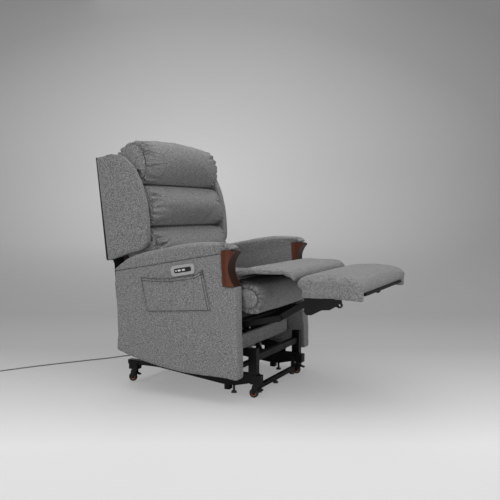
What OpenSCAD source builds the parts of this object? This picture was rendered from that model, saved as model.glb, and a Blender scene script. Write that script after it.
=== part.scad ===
// Lift recliner chair: a castored lift base, a seat body with arms, a reclining
// back, a powered legrest and a mains lead. Millimetres, Z up, the sitter faces -Y.

/* [Seat and arms] */
// Clear width between the two arms
seat_w = 672; // [560:4:760]
// Width of one arm
arm_w = 64; // [50:1:90]
// Height of the seat cushion's top above the floor
seat_h = 505; // [490:1:515]
// How far the side pocket stands off the arm
pocket_depth = 11; // [8:1:20]

/* [Base and castors] */
// Width of a base side rail
rail_w = 30; // [24:1:34]
// Height of a base side rail
rail_h = 38; // [30:1:44]
// Diameter of a castor wheel
wheel_d = 40; // [34:1:42]
// Width of a castor wheel
wheel_w = 16; // [12:1:20]
// How far a castor wheel trails behind its swivel
trail = 12; // [8:1:14]
// Diameter of a glide foot
glide_d = 26; // [20:1:34]

/* [Linkage] */
// Thickness of the flat steel links
link_t = 6; // [4:0.5:7]
// Side gap between neighbouring links
link_gap = 1.5; // [1:0.1:2]
// Diameter of the linkage pins
pin_d = 10; // [8:0.5:12]
// Radial running clearance of a pin in its hole
pin_fit = 0.06; // [0.03:0.01:0.1]
// Thickness of the chassis side plates
plate_t = 5; // [4:0.5:6]

/* [Back] */
// Angle by which the upright back leans to the rear
lean = 7.4; // [5:0.1:9]
// Width of a side wing
wing_w = 36; // [28:1:44]

/* [Mains lead] */
// Diameter of the mains lead
cord_d = 6; // [5:0.5:7]

/* [Hidden] */

// Colours
STEEL = [0.11, 0.11, 0.12];
BLACK = [0.03, 0.03, 0.035];
FABRIC = [0.46, 0.46, 0.46];
WOOD = [0.34, 0.17, 0.13];
SILVER = [0.72, 0.72, 0.72];
COPPER = [0.72, 0.35, 0.22];

// Clearances between neighbours
touch_gap = 0.3;
soft_gap = 0.3;

// Planes across the chair, as distances from its middle
arm_in = seat_w / 2;
arm_out = arm_in + arm_w;
side_rail_t = 35;
plate_out = arm_in - side_rail_t;
plate_in = plate_out - plate_t;
drive_out = plate_in - link_gap;
drive_in = drive_out - link_t;
lift_link_out = drive_in - link_gap;
lift_link_in = lift_link_out - link_t;
ottoman_plate_out = lift_link_in - link_gap;
ottoman_plate_in = ottoman_plate_out - link_t;
lift_boss_l = 22;
front_arm_out = plate_in - lift_boss_l;
front_arm_in = front_arm_out - link_t;
rear_arm_out = front_arm_in - 2 * link_gap;
rear_arm_in = rear_arm_out - link_t;
bracket_out = rear_arm_in - link_gap;
rail_out = bracket_out - plate_t;
rail_in = rail_out - rail_w;
track_w = rail_out + rail_in;
back_post_in = plate_in - 30;
back_post_out = plate_in - 8;
bore_d = pin_d + 2 * pin_fit;

// Base levels and places
front_castor_y = -117;
rear_castor_y = 517;
castor_h = 60;
block_l = 46;
block_w = 36;
block_top = castor_h + 39;
rail_top = 103;
rail_bottom = rail_top - rail_h;
post_top = 214;
post_l = 38;
post_y = front_castor_y + 13;
post_wall = 4;
front_tube_z = 156;
front_tube_h = 27;
foot_bar_z = 26;
foot_bar_h = 20;
foot_clear = 10;
foot_bar_y = front_castor_y + 14;
castor_swing = norm([trail + wheel_d / 2, wheel_w / 2]) + 2;
foot_bar_half = track_w / 2 - castor_swing;

// Lift linkage pivots as [y, z]
front_arm_base = [-21, 120];
front_arm_top = [237, 164];
rear_arm_base = [60, 130];
rear_arm_top = [456, 176];
arm_bar_w = 30;
lift_lever_r = 60;
lift_lever_at = 80;
lift_motor_pivot = [455, 85];

// Legrest pivots as [y, z]
leg_pivot = [24, 300];
knee_pivot = [-243, 358];
ottoman_pivot = [-419, 463];
leg_bar_w = 26;
leg_lever_r = 36;
leg_lever_at = 235;
leg_motor_pivot = [430, 250];
leg_motor_x = -90;

// Back pivots as [y, z]
back_pivot = [451, 400];
back_lever_r = 64;
back_lever_at = 300;
back_motor_pivot = [45, 262];
back_motor_x = 90;

// Seat, arm and footrest levels
deck_z = 372;
rear_rail_y = 486.6;
fold = [-205.4, 512];
chaise_half = arm_in - 14;
knuckle_back = -35;
knuckle_top = 639;
ottoman_half = arm_in - 8;
ottoman_board_top = 482;
cover_y = 88.4;

// Control panel
control_y = 147;
control_z = 552;
bezel_l = 115;
bezel_h = 44;
bezel_t = 5;
face_l = 86;
face_h = 20;
face_t = 3.4;
home_y = 33;
home_d = 7;
back_key_y = 17;
leg_key_y = -4;
key_l = 14;
key_h = 7;
usb_y = -25;

// Smaller pieces
stem_l = 24;
axle_d = 6;
brake_pin_d = 4;
brake_pivot = [-6, castor_h - 18];
glide_x = foot_bar_half - 19.5;
side_glide_y = -8;
motor_ear_x = 20;
rod_d = 18;
open_pivot_gap = 2.4;
lift_slack = 4;
leg_slack = 5.4;
back_slack = 4.2;
power_x = track_w / 2 - 77.5;
power_y = 548;
power_z = 114;
relief_l = 30;
skirt_t = 3;
spring_wire = 3.6;

// Rear face of the lower skirt at height z
function skirt_y(z) = 531 + (z - 230) * 0.055;

// A point on a circle about p, at an angle in the side view
function around(p, r, a) = [p[0] + r * cos(a), p[1] + r * sin(a)];
lift_eye = around(front_arm_base, lift_lever_r, lift_lever_at);
leg_eye = around(leg_pivot, leg_lever_r, leg_lever_at);
back_eye = around(back_pivot, back_lever_r, back_lever_at);

// A run of points on an arc in the side view
function arc(p, r, from, to, n) = [for (i = [0 : n]) around(p, r, from + (to - from) * i / n)];

// Closed smooth curve through a ring of points, n steps between each two
function knot(p, i) = p[(i + len(p)) % len(p)];
function bow(a, b, c, d, t) =
    0.5 * (2 * b + (c - a) * t + (2 * a - 5 * b + 4 * c - d) * t * t
    + (3 * b - a - 3 * c + d) * t * t * t);
function smooth(p, n) = [for (i = [0 : len(p) - 1], j = [0 : n - 1])
    bow(knot(p, i - 1), knot(p, i), knot(p, i + 1), knot(p, i + 2), j / n)];

// Side-view outline drawn across the chair from x0 to x1
module slab_x(x0, x1, pts) {
    translate([x0, 0, 0]) rotate([90, 0, 90]) linear_extrude(height = x1 - x0) polygon(pts);
}

// Round bar across the chair
module rod_x(x0, x1, p, d) {
    translate([x0, p[0], p[1]]) rotate([0, 90, 0]) cylinder(h = x1 - x0, d = d, $fn = 48);
}

// Box given by its low and high corners
module block(low, high) {
    translate(low) cube(high - low);
}

// Flat link with round ends between two side-view points
module link_bar(x0, x1, p, q, w) {
    d = (q - p) / norm(q - p);
    n = [-d[1], d[0]] * w * 0.47;
    rod_x(x0, x1, p, w);
    rod_x(x0, x1, q, w);
    slab_x(x0, x1, [p + n, p - n, q - n, q + n]);
}

module both_sides() {
    children();
    mirror([1, 0, 0]) children();
}

// Outline with its points in the order that faces a form outwards
function area(p) = 0.5 * area_sum(p);
function area_sum(p, i = 0) = i == len(p) ? 0
    : p[i][0] * knot(p, i + 1)[1] - knot(p, i + 1)[0] * p[i][1] + area_sum(p, i + 1);
function ccw(p) = area(p) > 0 ? p : [for (i = [len(p) - 1 : -1 : 0]) p[i]];

// A point moved by d towards a form's spine, the segment from a to b
function towards(p, a, b, d) =
    let (u = b - a, t = min(1, max(0, (p - a) * u / (u * u))), v = a + t * u - p)
    p + v / norm(v) * min(d, 0.6 * norm(v));
function share(a, lim) = min(1, max(0, a) / lim);

// Padded form: a side-view outline carried across the chair, drawn in and
// rounded towards its two ends; bulge moves its middle forwards and upwards
module padded_form(outline, half_w, end_r, bulge = [0, 0], centre_x = 0, ends = 3, mids = 3, spine = []) {
    pts = ccw(outline);
    low = [min([for (p = pts) p[0]]), min([for (p = pts) p[1]])];
    high = [max([for (p = pts) p[0]]), max([for (p = pts) p[1]])];
    c = (low + high) / 2;
    half = (high - low) / 2;
    long = [max(0.5, half[0] - half[1]), max(0.5, half[1] - half[0])];
    reach = half[0] > half[1] ? [long[0], 0] : [0, long[1]];
    line = len(spine) == 2 ? spine : [c - reach, c + reach];
    span = half_w - end_r;
    xs = concat([for (i = [0 : ends]) -half_w + end_r * (1 - cos(90 * i / ends))],
                [for (i = [1 : 1 : mids]) -span + 2 * span * i / (mids + 1)],
                [for (i = [ends : -1 : 0]) half_w - end_r * (1 - cos(90 * i / ends))]);
    n = len(pts);
    m = len(xs);
    rings = [for (x = xs)
        let (over = max(0, abs(x) - span) / end_r,
             inset = end_r * (1 - sqrt(max(0, 1 - over * over))),
             k = 1 - pow(x / half_w, 2))
        for (p = pts)
            let (q = towards(p, line[0], line[1], inset))
            [x + centre_x, q[0] - bulge[0] * k * share(c[0] - q[0], half[0]),
             q[1] + bulge[1] * k * share(q[1] - c[1], half[1])]];
    polyhedron(points = rings, faces = concat(
        [[for (j = [0 : n - 1]) j]],
        [for (i = [0 : m - 2], j = [0 : n - 1])
            [i * n + j, (i + 1) * n + j, (i + 1) * n + (j + 1) % n]],
        [for (i = [0 : m - 2], j = [0 : n - 1])
            [i * n + j, (i + 1) * n + (j + 1) % n, i * n + (j + 1) % n]],
        [[for (j = [n - 1 : -1 : 0]) (m - 1) * n + j]]), convexity = 6);
}

// Places its children in the back's own leaning frame: Y rearward, Z up along the back
module on_back() {
    translate([0, back_pivot[0], back_pivot[1]]) rotate([-lean, 0, 0]) children();
}

// ---- Base ----

module base_side_frames() {
    x = track_w / 2;
    shaft_top = rail_top - 19;
    color(STEEL) both_sides() difference() {
        union() {
            slab_x(x - rail_w / 2, x + rail_w / 2,
                [[front_castor_y, rail_top], [front_castor_y, rail_bottom + 4], [-20, 46], [40, 46],
                 [375, shaft_top], [rear_castor_y + 30, shaft_top], [rear_castor_y + 30, rail_top]]);
            for (y = [front_castor_y, rear_castor_y])
                block([x - block_w / 2, y - block_l / 2, castor_h],
                      [x + block_w / 2, y + block_l / 2, block_top]);
            block([x - rail_w / 2, post_y - post_l / 2, rail_top - 6],
                  [x + rail_w / 2, post_y + post_l / 2, post_top]);
            // Drop housing beside the side glide
            block([x - rail_w / 2, side_glide_y + 16, 24], [x + rail_w / 2, side_glide_y + 40, 60]);
        }
        for (y = [front_castor_y, rear_castor_y])
            translate([x, y, castor_h - 1]) cylinder(h = stem_l + 2, d = bore_d, $fn = 40);
        block([x - rail_w / 2 - 1, post_y - post_l / 2 + post_wall, rail_top + post_wall],
              [x + rail_w / 2 - post_wall, post_y + post_l / 2 - post_wall, post_top + 1]);
    }
}

module base_cross_frame() {
    tube_y = foot_bar_y;
    tube_half = rail_out - post_wall;
    rear_y = rear_castor_y;
    block_in = track_w / 2 - block_w / 2;
    color(STEEL) {
        // Front cross tube between the corner posts
        block([-tube_half, tube_y - 12, front_tube_z], [tube_half, tube_y + 12, front_tube_z + front_tube_h]);
        // Low front bar that carries the glide feet, turned up at its ends
        block([-foot_bar_half, tube_y - 8, foot_bar_z], [foot_bar_half, tube_y + 8, foot_bar_z + foot_bar_h]);
        both_sides() {
            block([foot_bar_half - 14, tube_y - 8, foot_bar_z], [foot_bar_half, tube_y + 8, block_top - 4]);
            block([foot_bar_half - 1, tube_y - 8, castor_h + 14], [block_in, tube_y + 8, block_top - 4]);
        }
        // Rear cross tube with the lift motor's ears
        difference() {
            union() {
                block([-block_in, rear_y - 12, rail_top - 36], [block_in, rear_y + 12, rail_top - 8]);
                both_sides() slab_x(motor_ear_x, motor_ear_x + plate_t,
                    [lift_motor_pivot + [-14, -14], [rear_y - 12, rail_top - 34],
                     [rear_y - 12, rail_top - 10], lift_motor_pivot + [-4, 16],
                     lift_motor_pivot + [-14, 10]]);
            }
            rod_x(-60, 60, lift_motor_pivot, bore_d);
        }
    }
}

module base_pivot_brackets() {
    w = 34;
    color(STEEL) both_sides() {
        difference() {
            slab_x(rail_out, bracket_out,
                [[front_arm_base[0] - w / 2, rail_bottom + 16],
                 [rear_arm_base[0] + w / 2, rail_bottom + 16],
                 rear_arm_base + [w / 2, 8], rear_arm_base + [8, w / 2],
                 front_arm_base + [-8, w / 2], front_arm_base + [-w / 2, 8]]);
            rod_x(rail_out - 1, bracket_out + 1, front_arm_base, bore_d);
            rod_x(rail_out - 1, bracket_out + 1, rear_arm_base, bore_d);
        }
    }
}

module glide_feet() {
    color(BLACK) {
        for (x = [-glide_x, -8, glide_x]) glide(x, foot_bar_y, foot_bar_z);
        both_sides() glide(track_w / 2, side_glide_y, 46);
    }
}

// One glide: a stem under a seat at height z and a flared rubber pad
module glide(x, y, z) {
    translate([x, y, 0]) {
        translate([0, 0, foot_clear + 7]) cylinder(h = z - foot_clear - 7, d = glide_d * 0.4, $fn = 40);
        translate([0, 0, foot_clear]) cylinder(h = 8, d1 = glide_d, d2 = glide_d * 0.8, $fn = 40);
    }
}

module power_box() {
    color(BLACK) difference() {
        union() {
            block([power_x - 70, power_y - 62, rail_top - 8], [power_x + 57, power_y, rail_top + 34]);
            // Tapered strain relief of the mains lead
            translate([power_x, power_y, power_z]) rotate([-90, 0, 0])
                cylinder(h = relief_l, d1 = cord_d + 7, d2 = cord_d + 2, $fn = 40);
        }
        for (i = [0 : 5]) block([power_x - 60 + 20 * i, power_y - 50, rail_top + 32],
                                [power_x - 52 + 20 * i, power_y - 14, rail_top + 35]);
    }
}

// ---- Castors ----

// Swivel fork with its stem, at the origin of its swivel
module castor_fork() {
    cheek = 3;
    in = wheel_w / 2 + 0.6;
    axle_z = wheel_d / 2;
    color(BLACK) difference() {
        union() {
            translate([0, 0, castor_h]) cylinder(h = stem_l, d = pin_d, $fn = 40);
            translate([0, 0, castor_h - 5]) cylinder(h = 4.7, d = 30, $fn = 48);
            block([-in - cheek, -10, castor_h - 14], [in + cheek, 16, castor_h - 5]);
            for (s = [-1, 1]) slab_x(min(s * in, s * (in + cheek)), max(s * in, s * (in + cheek)),
                [[-10, castor_h - 6], [-9, castor_h - 22], [trail - 8, axle_z - 5], [trail + 8, axle_z - 5],
                 [18, castor_h - 16], [16, castor_h - 6]]);
            rod_x(-in - cheek, in + cheek, [trail, axle_z], axle_d);
            rod_x(-in - cheek, in + cheek, brake_pivot, brake_pin_d);
        }
    }
}

module castor_wheel() {
    color(BLACK) translate([0, trail, wheel_d / 2]) rotate([0, 90, 0]) rotate_extrude($fn = 64)
        polygon([[axle_d / 2 + 0.05, -wheel_w / 2 + 1.5], [7, -wheel_w / 2 + 0.5], [8, -wheel_w / 2 + 3.5],
                 [wheel_d / 2 - 6, -wheel_w / 2 + 3.5], [wheel_d / 2 - 5, -wheel_w / 2],
                 [wheel_d / 2 - 1.5, -wheel_w / 2], [wheel_d / 2, -wheel_w / 2 + 3],
                 [wheel_d / 2, wheel_w / 2 - 3], [wheel_d / 2 - 1.5, wheel_w / 2],
                 [wheel_d / 2 - 5, wheel_w / 2], [wheel_d / 2 - 6, wheel_w / 2 - 3.5],
                 [8, wheel_w / 2 - 3.5], [7, wheel_w / 2 - 0.5], [axle_d / 2 + 0.05, wheel_w / 2 - 1.5]]);
}

// Foot pedal of the brake, hinged across the front of the fork
module castor_brake() {
    w = wheel_w / 2;
    color(BLACK) difference() {
        union() {
            rod_x(-w, w, brake_pivot, 7);
            slab_x(-w, w, [brake_pivot + [-2, 3.2], brake_pivot + [-22, -3], brake_pivot + [-24, -8],
                           brake_pivot + [-20, -8], brake_pivot + [-2, -3]]);
        }
        rod_x(-w - 1, w + 1, brake_pivot, brake_pin_d + 2 * pin_fit);
    }
}

module at_castor(side, end) {
    translate([side * track_w / 2, end, 0]) children();
}
module castor_fork_front_left() { at_castor(1, front_castor_y) castor_fork(); }
module castor_fork_front_right() { at_castor(-1, front_castor_y) castor_fork(); }
module castor_fork_rear_left() { at_castor(1, rear_castor_y) castor_fork(); }
module castor_fork_rear_right() { at_castor(-1, rear_castor_y) castor_fork(); }
module castor_wheel_front_left() { at_castor(1, front_castor_y) castor_wheel(); }
module castor_wheel_front_right() { at_castor(-1, front_castor_y) castor_wheel(); }
module castor_wheel_rear_left() { at_castor(1, rear_castor_y) castor_wheel(); }
module castor_wheel_rear_right() { at_castor(-1, rear_castor_y) castor_wheel(); }
module castor_brake_front_left() { at_castor(1, front_castor_y) castor_brake(); }
module castor_brake_front_right() { at_castor(-1, front_castor_y) castor_brake(); }
module castor_brake_rear_left() { at_castor(1, rear_castor_y) castor_brake(); }
module castor_brake_rear_right() { at_castor(-1, rear_castor_y) castor_brake(); }

// ---- Lift linkage ----

module lift_front_arms() {
    color(STEEL) difference() {
        union() {
            both_sides() {
                link_bar(front_arm_in, front_arm_out, front_arm_base, front_arm_top, arm_bar_w);
                // Stub that runs in the base bracket, as wide as the torque tube outside it
                rod_x(bracket_out + link_gap / 2, front_arm_in, front_arm_base, 22);
                rod_x(rail_in - 8, front_arm_in, front_arm_base, pin_d);
            }
            rod_x(-rail_in + 3, rail_in - 3, front_arm_base, 25);
            both_sides() slab_x(7, 12, [front_arm_base + [-12, 0], front_arm_base + [12, 0],
                                        lift_eye + [9, 2], lift_eye + [4, 10], lift_eye + [-5, 10],
                                        lift_eye + [-9, 2]]);
            rod_x(-12, 12, lift_eye, pin_d);
        }
        both_sides() rod_x(front_arm_in - 1, front_arm_out + 1, front_arm_top, bore_d);
    }
}

module lift_rear_arms() {
    color(STEEL) difference() {
        both_sides() {
            link_bar(rear_arm_in, rear_arm_out, rear_arm_base, rear_arm_top, arm_bar_w);
            rod_x(rail_out - 0.5, rear_arm_in + 1, rear_arm_base, pin_d);
        }
        both_sides() rod_x(rear_arm_in - 1, rear_arm_out + 1, rear_arm_top, pin_d + 2 * open_pivot_gap);
    }
}

// Linear actuator housing from its tail pivot towards the eye it drives
module motor_body(tail, eye, len, side) {
    a = atan2(eye[1] - tail[1], eye[0] - tail[0]);
    color(BLACK) translate([0, tail[0], tail[1]]) rotate([a, 0, 0]) difference() {
        union() {
            rod_x(-12, 12, [0, 0], 24);
            block([-16, 8, -17], [16, 76, 17]);
            translate([side * 34, 44, 0]) rotate([-90, 0, 0]) cylinder(h = 96, d = 44, $fn = 48);
            block([min(0, side * 34), 40, -15], [max(0, side * 34), 74, 15]);
            translate([0, 70, 0]) rotate([-90, 0, 0]) cylinder(h = len - 70, d = 34, $fn = 48);
        }
        rod_x(-20, 20, [0, 0], bore_d);
        translate([0, 84, 0]) rotate([-90, 0, 0]) cylinder(h = len, d = rod_d + 2 * pin_fit, $fn = 48);
    }
}

// Actuator rod with its clevis eye, which is bored wide of the lever's pin
module motor_rod(tail, eye, rod_from, slack) {
    a = atan2(eye[1] - tail[1], eye[0] - tail[0]);
    reach = norm(eye - tail);
    wall = 5;
    neck_l = 36;
    color(SILVER) translate([0, tail[0], tail[1]]) rotate([a, 0, 0]) difference() {
        union() {
            translate([0, rod_from, 0]) rotate([-90, 0, 0])
                cylinder(h = reach - rod_from - neck_l, d = rod_d, $fn = 48);
            block([-6, reach - neck_l - 1, -7], [6, reach - pin_d / 2 - slack - 1, 7]);
            rod_x(-6, 6, [reach, 0], pin_d + 2 * slack + 2 * wall);
        }
        rod_x(-7, 7, [reach, 0], pin_d + 2 * slack);
    }
}

module lift_motor() {
    motor_body(lift_motor_pivot, lift_eye, 330, 1);
    color(STEEL) rod_x(-motor_ear_x - plate_t + 1, motor_ear_x + plate_t - 1, lift_motor_pivot, pin_d);
}
module lift_rod() {
    motor_rod(lift_motor_pivot, lift_eye, 180, lift_slack);
}

// ---- Chassis ----

module chassis_side_plates() {
    color(STEEL) both_sides() difference() {
        union() {
            slab_x(plate_in, plate_out,
                [[-80, 348], [-46, 322], [-8, 262], [0, 190], [150, 186], [214, 138], [484, 138],
                 [486, 384], [478, 420], [428, 422], [404, deck_z], [-80, deck_z]]);
            // Bosses that reach in to the lift arms
            rod_x(front_arm_out + link_gap, plate_in + 1, front_arm_top, 22);
            rod_x(rear_arm_out + link_gap, plate_in + 1, rear_arm_top, 22);
            rod_x(front_arm_in, front_arm_out + 2, front_arm_top, pin_d);
            rod_x(rear_arm_in - 1, rear_arm_out + 2, rear_arm_top, pin_d);
        }
        rod_x(plate_in - 1, plate_out + 1, leg_pivot, bore_d);
        rod_x(plate_in - 1, plate_out + 1, back_pivot, bore_d);
        // Lightening slots
        for (y = [80, 190, 300])
            slab_x(plate_in - 1, plate_out + 1,
                concat(arc([y, 300], 20, 90, 270, 8), arc([y + 56, 300], 20, -90, 90, 8)));
    }
}

module chassis_cross_tubes() {
    color(STEEL) difference() {
        union() {
            block([-plate_in, 12, 205], [plate_in, 37, 235]);
            block([-plate_in, 440, 205], [plate_in, 465, 235]);
            block([-plate_in, -76, 350], [plate_in, -52, 372]);
            block([-plate_in, 378, 350], [plate_in, 400, 372]);
            for (s = [-1, 1]) {
                slab_x(leg_motor_x - (s > 0 ? -motor_ear_x : motor_ear_x + plate_t),
                       leg_motor_x + (s > 0 ? motor_ear_x + plate_t : -motor_ear_x),
                    [[440, 234], [465, 234], leg_motor_pivot + [14, 12], leg_motor_pivot + [-12, 12],
                     leg_motor_pivot + [-12, -10]]);
                slab_x(back_motor_x - (s > 0 ? -motor_ear_x : motor_ear_x + plate_t),
                       back_motor_x + (s > 0 ? motor_ear_x + plate_t : -motor_ear_x),
                    [[12, 234], [37, 234], back_motor_pivot + [12, -10], back_motor_pivot + [12, 12],
                     back_motor_pivot + [-14, 12]]);
            }
        }
        rod_x(leg_motor_x - 40, leg_motor_x + 40, leg_motor_pivot, bore_d);
        rod_x(back_motor_x - 40, back_motor_x + 40, back_motor_pivot, bore_d);
    }
}

module front_rail() {
    x = ottoman_plate_out;
    color(FABRIC) slab_x(-x, x, [[-36, 197], [11.7, 197], [11.7, 240], [-14, 240], [-14, 259],
                                [-18, 262], [-32, 262], [-36, 258]]);
}

module seat_side_rails() {
    color([0.6, 0.5, 0.36]) {
        both_sides() {
            block([plate_out, -60, 300], [arm_in, 448, deck_z - 2]);
            block([plate_out, 230, 170], [arm_in, 262, 300]);
            block([plate_out, 440, 170], [arm_in, rear_rail_y, 300]);
        }
        block([-arm_in + 8, rear_rail_y, 240], [arm_in - 8, skirt_y(240) - skirt_t, 272]);
    }
}

// Zigzag spring wires that lie on the front and rear seat tubes
module seat_springs() {
    bends = 18;
    from = -70;
    to = 396;
    half = 17;
    side = [0, spring_wire * 0.7];
    line = [for (i = [0 : bends])
        [from + (to - from) * i / bends, i == 0 || i == bends ? 0 : (i % 2 == 0 ? -half : half)]];
    color(STEEL) for (x = [-240 : 80 : 240]) translate([x, 0, deck_z]) rotate([0, 0, 90])
        linear_extrude(height = spring_wire) polygon(concat([for (p = line) p + side],
                                                     [for (i = [bends : -1 : 0]) line[i] - side]));
}

// ---- Seat ----

module seat_cushion() {
    low = deck_z + spring_wire + soft_gap;
    top = seat_h - 0.6;
    color(FABRIC) padded_form(smooth([[396, low + 16], [398, top - 50], [388, top - 3], [330, top],
        [120, top], [-60, top], [-128, top - 1], [-168, top - 18], [-188, top - 62], [-187, top - 106],
        [-168, low - 8], [-128, low - 13], [-96, low - 8], [-74, low], [-40, low + 1], [120, low + 1],
        [330, low + 1], [372, low + 5]], 2),
        arm_in - 6, 22, [8, 0]);
}

// Bridge between the seat and the footrest: the rear part lies on the seat
module chaise_pad() {
    low = seat_h + soft_gap;
    color(FABRIC) padded_form([[-24, low + 2], [-30, low], [-120, low], [fold[0] + touch_gap, low + 6],
        [fold[0] + touch_gap, 560], [-172, 563], [-120, 560], [-70, 549], [-36, 531], [-24, 519]],
        chaise_half, 14, [0, 0], 0, 3, 1);
}

// The front part of the bridge folds down at the front edge of the seat
module chaise_flap() {
    color(FABRIC) padded_form([[fold[0], fold[1]], [-316, fold[1] + 2], [-325, fold[1] + 8],
        [-326, fold[1] + 16], [-318, 543], [-300, 553], [-260, 559], [fold[0], 560]],
        chaise_half, 14, [0, 0], 0, 3, 1);
}

// ---- Arms ----

function seam_z(y) = 578 - (y - 237) * 0.172;
function hem_z(y) = 112 + (y < 60 ? 0 : pow((y - 60) / 52.8, 2));

module arm_panel() {
    color(FABRIC) slab_x(arm_in, arm_out, concat(
        [for (y = [500 : -40 : -60]) [y, hem_z(y)]],
        [[-107, 105], [-97, 491], [knuckle_back - 7, 491], [knuckle_back, seam_z(knuckle_back)],
         [505, seam_z(505)], [507, 469], [495, 370], [493, 243]]));
}
module arm_panel_left() { arm_panel(); }
module arm_panel_right() { mirror([1, 0, 0]) arm_panel(); }

module arm_pad(side) {
    low = knuckle_top + soft_gap;
    color(FABRIC) padded_form(concat(
        [[506, seam_z(506) + soft_gap], [380, seam_z(380) + soft_gap], [237, seam_z(237) + soft_gap],
         [100, seam_z(100) + soft_gap], [knuckle_back + 0.4, low - 8], [knuckle_back + 0.2, low + 0.2],
         [-76, low + 1]],
        [[-88, 648], [-80, 661], [-52, 670], [-13, 674], [60, 673], [133, 665], [235, 649],
         [340, 626], [404, 608], [448, 590], [484, 564], [508, 540]]),
        arm_w / 2 + 4, 12, [0, 0], side * (arm_in + arm_w / 2), 3, 1, [[-40, 655], [440, 570]]);
}
module arm_pad_left() { arm_pad(1); }
module arm_pad_right() { arm_pad(-1); }

// Polished wooden knuckle at the front of an arm, waisted below its grip
module arm_knuckle() {
    waist = [-66, 567];
    flare = 29;
    top = knuckle_top - 9;
    foot = 494;
    back = knuckle_back - touch_gap;
    color(WOOD) slab_x(arm_in - 2, arm_out + 2, concat(
        [[back - 7, foot - 2.7], [back, seam_z(knuckle_back)], [back, knuckle_top],
         [-82, knuckle_top], [-91, knuckle_top - 4]],
        [for (i = [0 : 8]) waist + [-flare * pow(1 - i / 8, 2), (top - waist[1]) * (1 - i / 8)]],
        [for (i = [1 : 9]) waist - [flare * pow(i / 9, 2), (waist[1] - foot) * i / 9]],
        [[-93, foot - 2.7]]));
}
module arm_knuckle_left() { arm_knuckle(); }
module arm_knuckle_right() { mirror([1, 0, 0]) arm_knuckle(); }

// Stitched storage pocket on the outside of the right arm, open at its top
module side_pocket() {
    wall = 2.6;
    x = -arm_out;
    color(FABRIC) difference() {
        slab_x(x - pocket_depth, x, [[363, 511], [290, 509], [control_y + 62, 512],
            [control_y + 60, 515], [control_y - 60, 535], [control_y - 62, 549], [50, 556],
            [14, 389], [327, 364]]);
        slab_x(x - pocket_depth + wall, x - wall, [[363 - wall, 600], [50 + wall, 600], [50 + wall, 556],
            [14 + wall, 389 + wall], [327 - wall, 364 + wall], [363 - wall, 511]]);
        slab_x(x - wall - 1, x + 1, [[352, 600], [352, 511], [320, 375], [24, 398], [58, 556], [58, 600]]);
    }
}

// ---- Controls on the right arm ----

// Outline of a plate with round corners, centred on the control panel
function round_box(w, h, r) = concat(
    arc([w / 2 - r, h / 2 - r], r, 0, 90, 6), arc([-w / 2 + r, h / 2 - r], r, 90, 180, 6),
    arc([-w / 2 + r, -h / 2 + r], r, 180, 270, 6), arc([w / 2 - r, -h / 2 + r], r, 270, 360, 6));

module on_control() {
    translate([-arm_out, control_y, control_z]) rotate([-9.8, 0, 0]) children();
}

module control_bezel() {
    color(SILVER) on_control() difference() {
        slab_x(-bezel_t, 0, round_box(bezel_l, bezel_h, 14));
        slab_x(-bezel_t - 1, 1, round_box(face_l, face_h, 7));
    }
}

module control_face() {
    color(BLACK) on_control() difference() {
        slab_x(-face_t, 0, round_box(face_l - 0.4, face_h - 0.4, 6.8));
        translate([-face_t - 1, home_y, 0]) rotate([0, 90, 0])
            cylinder(h = face_t + 2, d = home_d + 0.6, $fn = 48);
        for (y = [back_key_y, leg_key_y]) translate([0, y, 0])
            slab_x(-face_t - 1, 1, round_box(key_l + 1.2, key_h + 0.8, 2.4));
        // Charging socket with its tongue
        translate([0, usb_y, 0]) difference() {
            slab_x(-face_t - 1, -0.6, round_box(12, 5, 0.6));
            slab_x(-face_t - 0.4, 0, round_box(9, 1.6, 0.2));
        }
    }
}

module home_button() {
    color(SILVER) on_control() translate([-face_t - 1.2, home_y, 0]) rotate([0, 90, 0])
        cylinder(h = face_t - 0.3, d = home_d, $fn = 48);
}

// Rocker key, dished in its middle
module key(y) {
    color([0.8, 0.8, 0.8]) on_control() translate([0, y, 0]) difference() {
        slab_x(-face_t - 1.4, -1.3, round_box(key_l, key_h, 2));
        translate([-face_t - 15.7, 0, 0]) cylinder(h = 20, d = 30, center = true, $fn = 96);
    }
}
module back_rocker() { key(back_key_y); }
module leg_rocker() { key(leg_key_y); }

module rear_skirt() {
    low = 230;
    high = 436;
    x = arm_in - 5;
    post_slot_z = 345;
    color(BLACK) difference() {
        slab_x(-x, x, [[499, low], [skirt_y(low), low], [skirt_y(high), high], [520, high], [509, 300]]);
        slab_x(-x + skirt_t, x - skirt_t, [[480, low - 1], [skirt_y(low - 1) - skirt_t, low - 1],
            [skirt_y(high + 1) - skirt_t, high + 1], [480, high + 1]]);
        // Slots that the back's posts swing into
        both_sides() block([back_post_in - 3, 480, post_slot_z], [back_post_out + 3, 570, high + 1]);
    }
}

// ---- Back ----

module back_frame() {
    rail_half = arm_in - 4.3;
    color([0.6, 0.5, 0.36]) {
        on_back() for (z = [205, 400, 600]) block([-rail_half, 61, z], [rail_half, cover_y - 0.3, z + 44]);
    }
    color(STEEL) {
        difference() {
            union() {
                on_back() both_sides() slab_x(back_post_in, back_post_out,
                    [[-13, -8], [13, -12], [58, 26], [62, 60], [62, 644], [42, 644], [42, 62], [-8, 13]]);
                rod_x(-back_post_out, back_post_out, back_pivot, 25);
                both_sides() rod_x(back_post_out - 1, plate_out + 1, back_pivot, pin_d);
                for (s = [0, 1]) slab_x(back_motor_x + (s == 0 ? 7 : -12), back_motor_x + (s == 0 ? 12 : -7),
                    [back_pivot + [-12, 2], back_pivot + [12, 2], back_eye + [10, 4], back_eye + [9, -8],
                     back_eye + [-2, -10], back_eye + [-9, -5]]);
                rod_x(back_motor_x - 12, back_motor_x + 12, back_eye, pin_d);
            }
        }
    }
}

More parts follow.
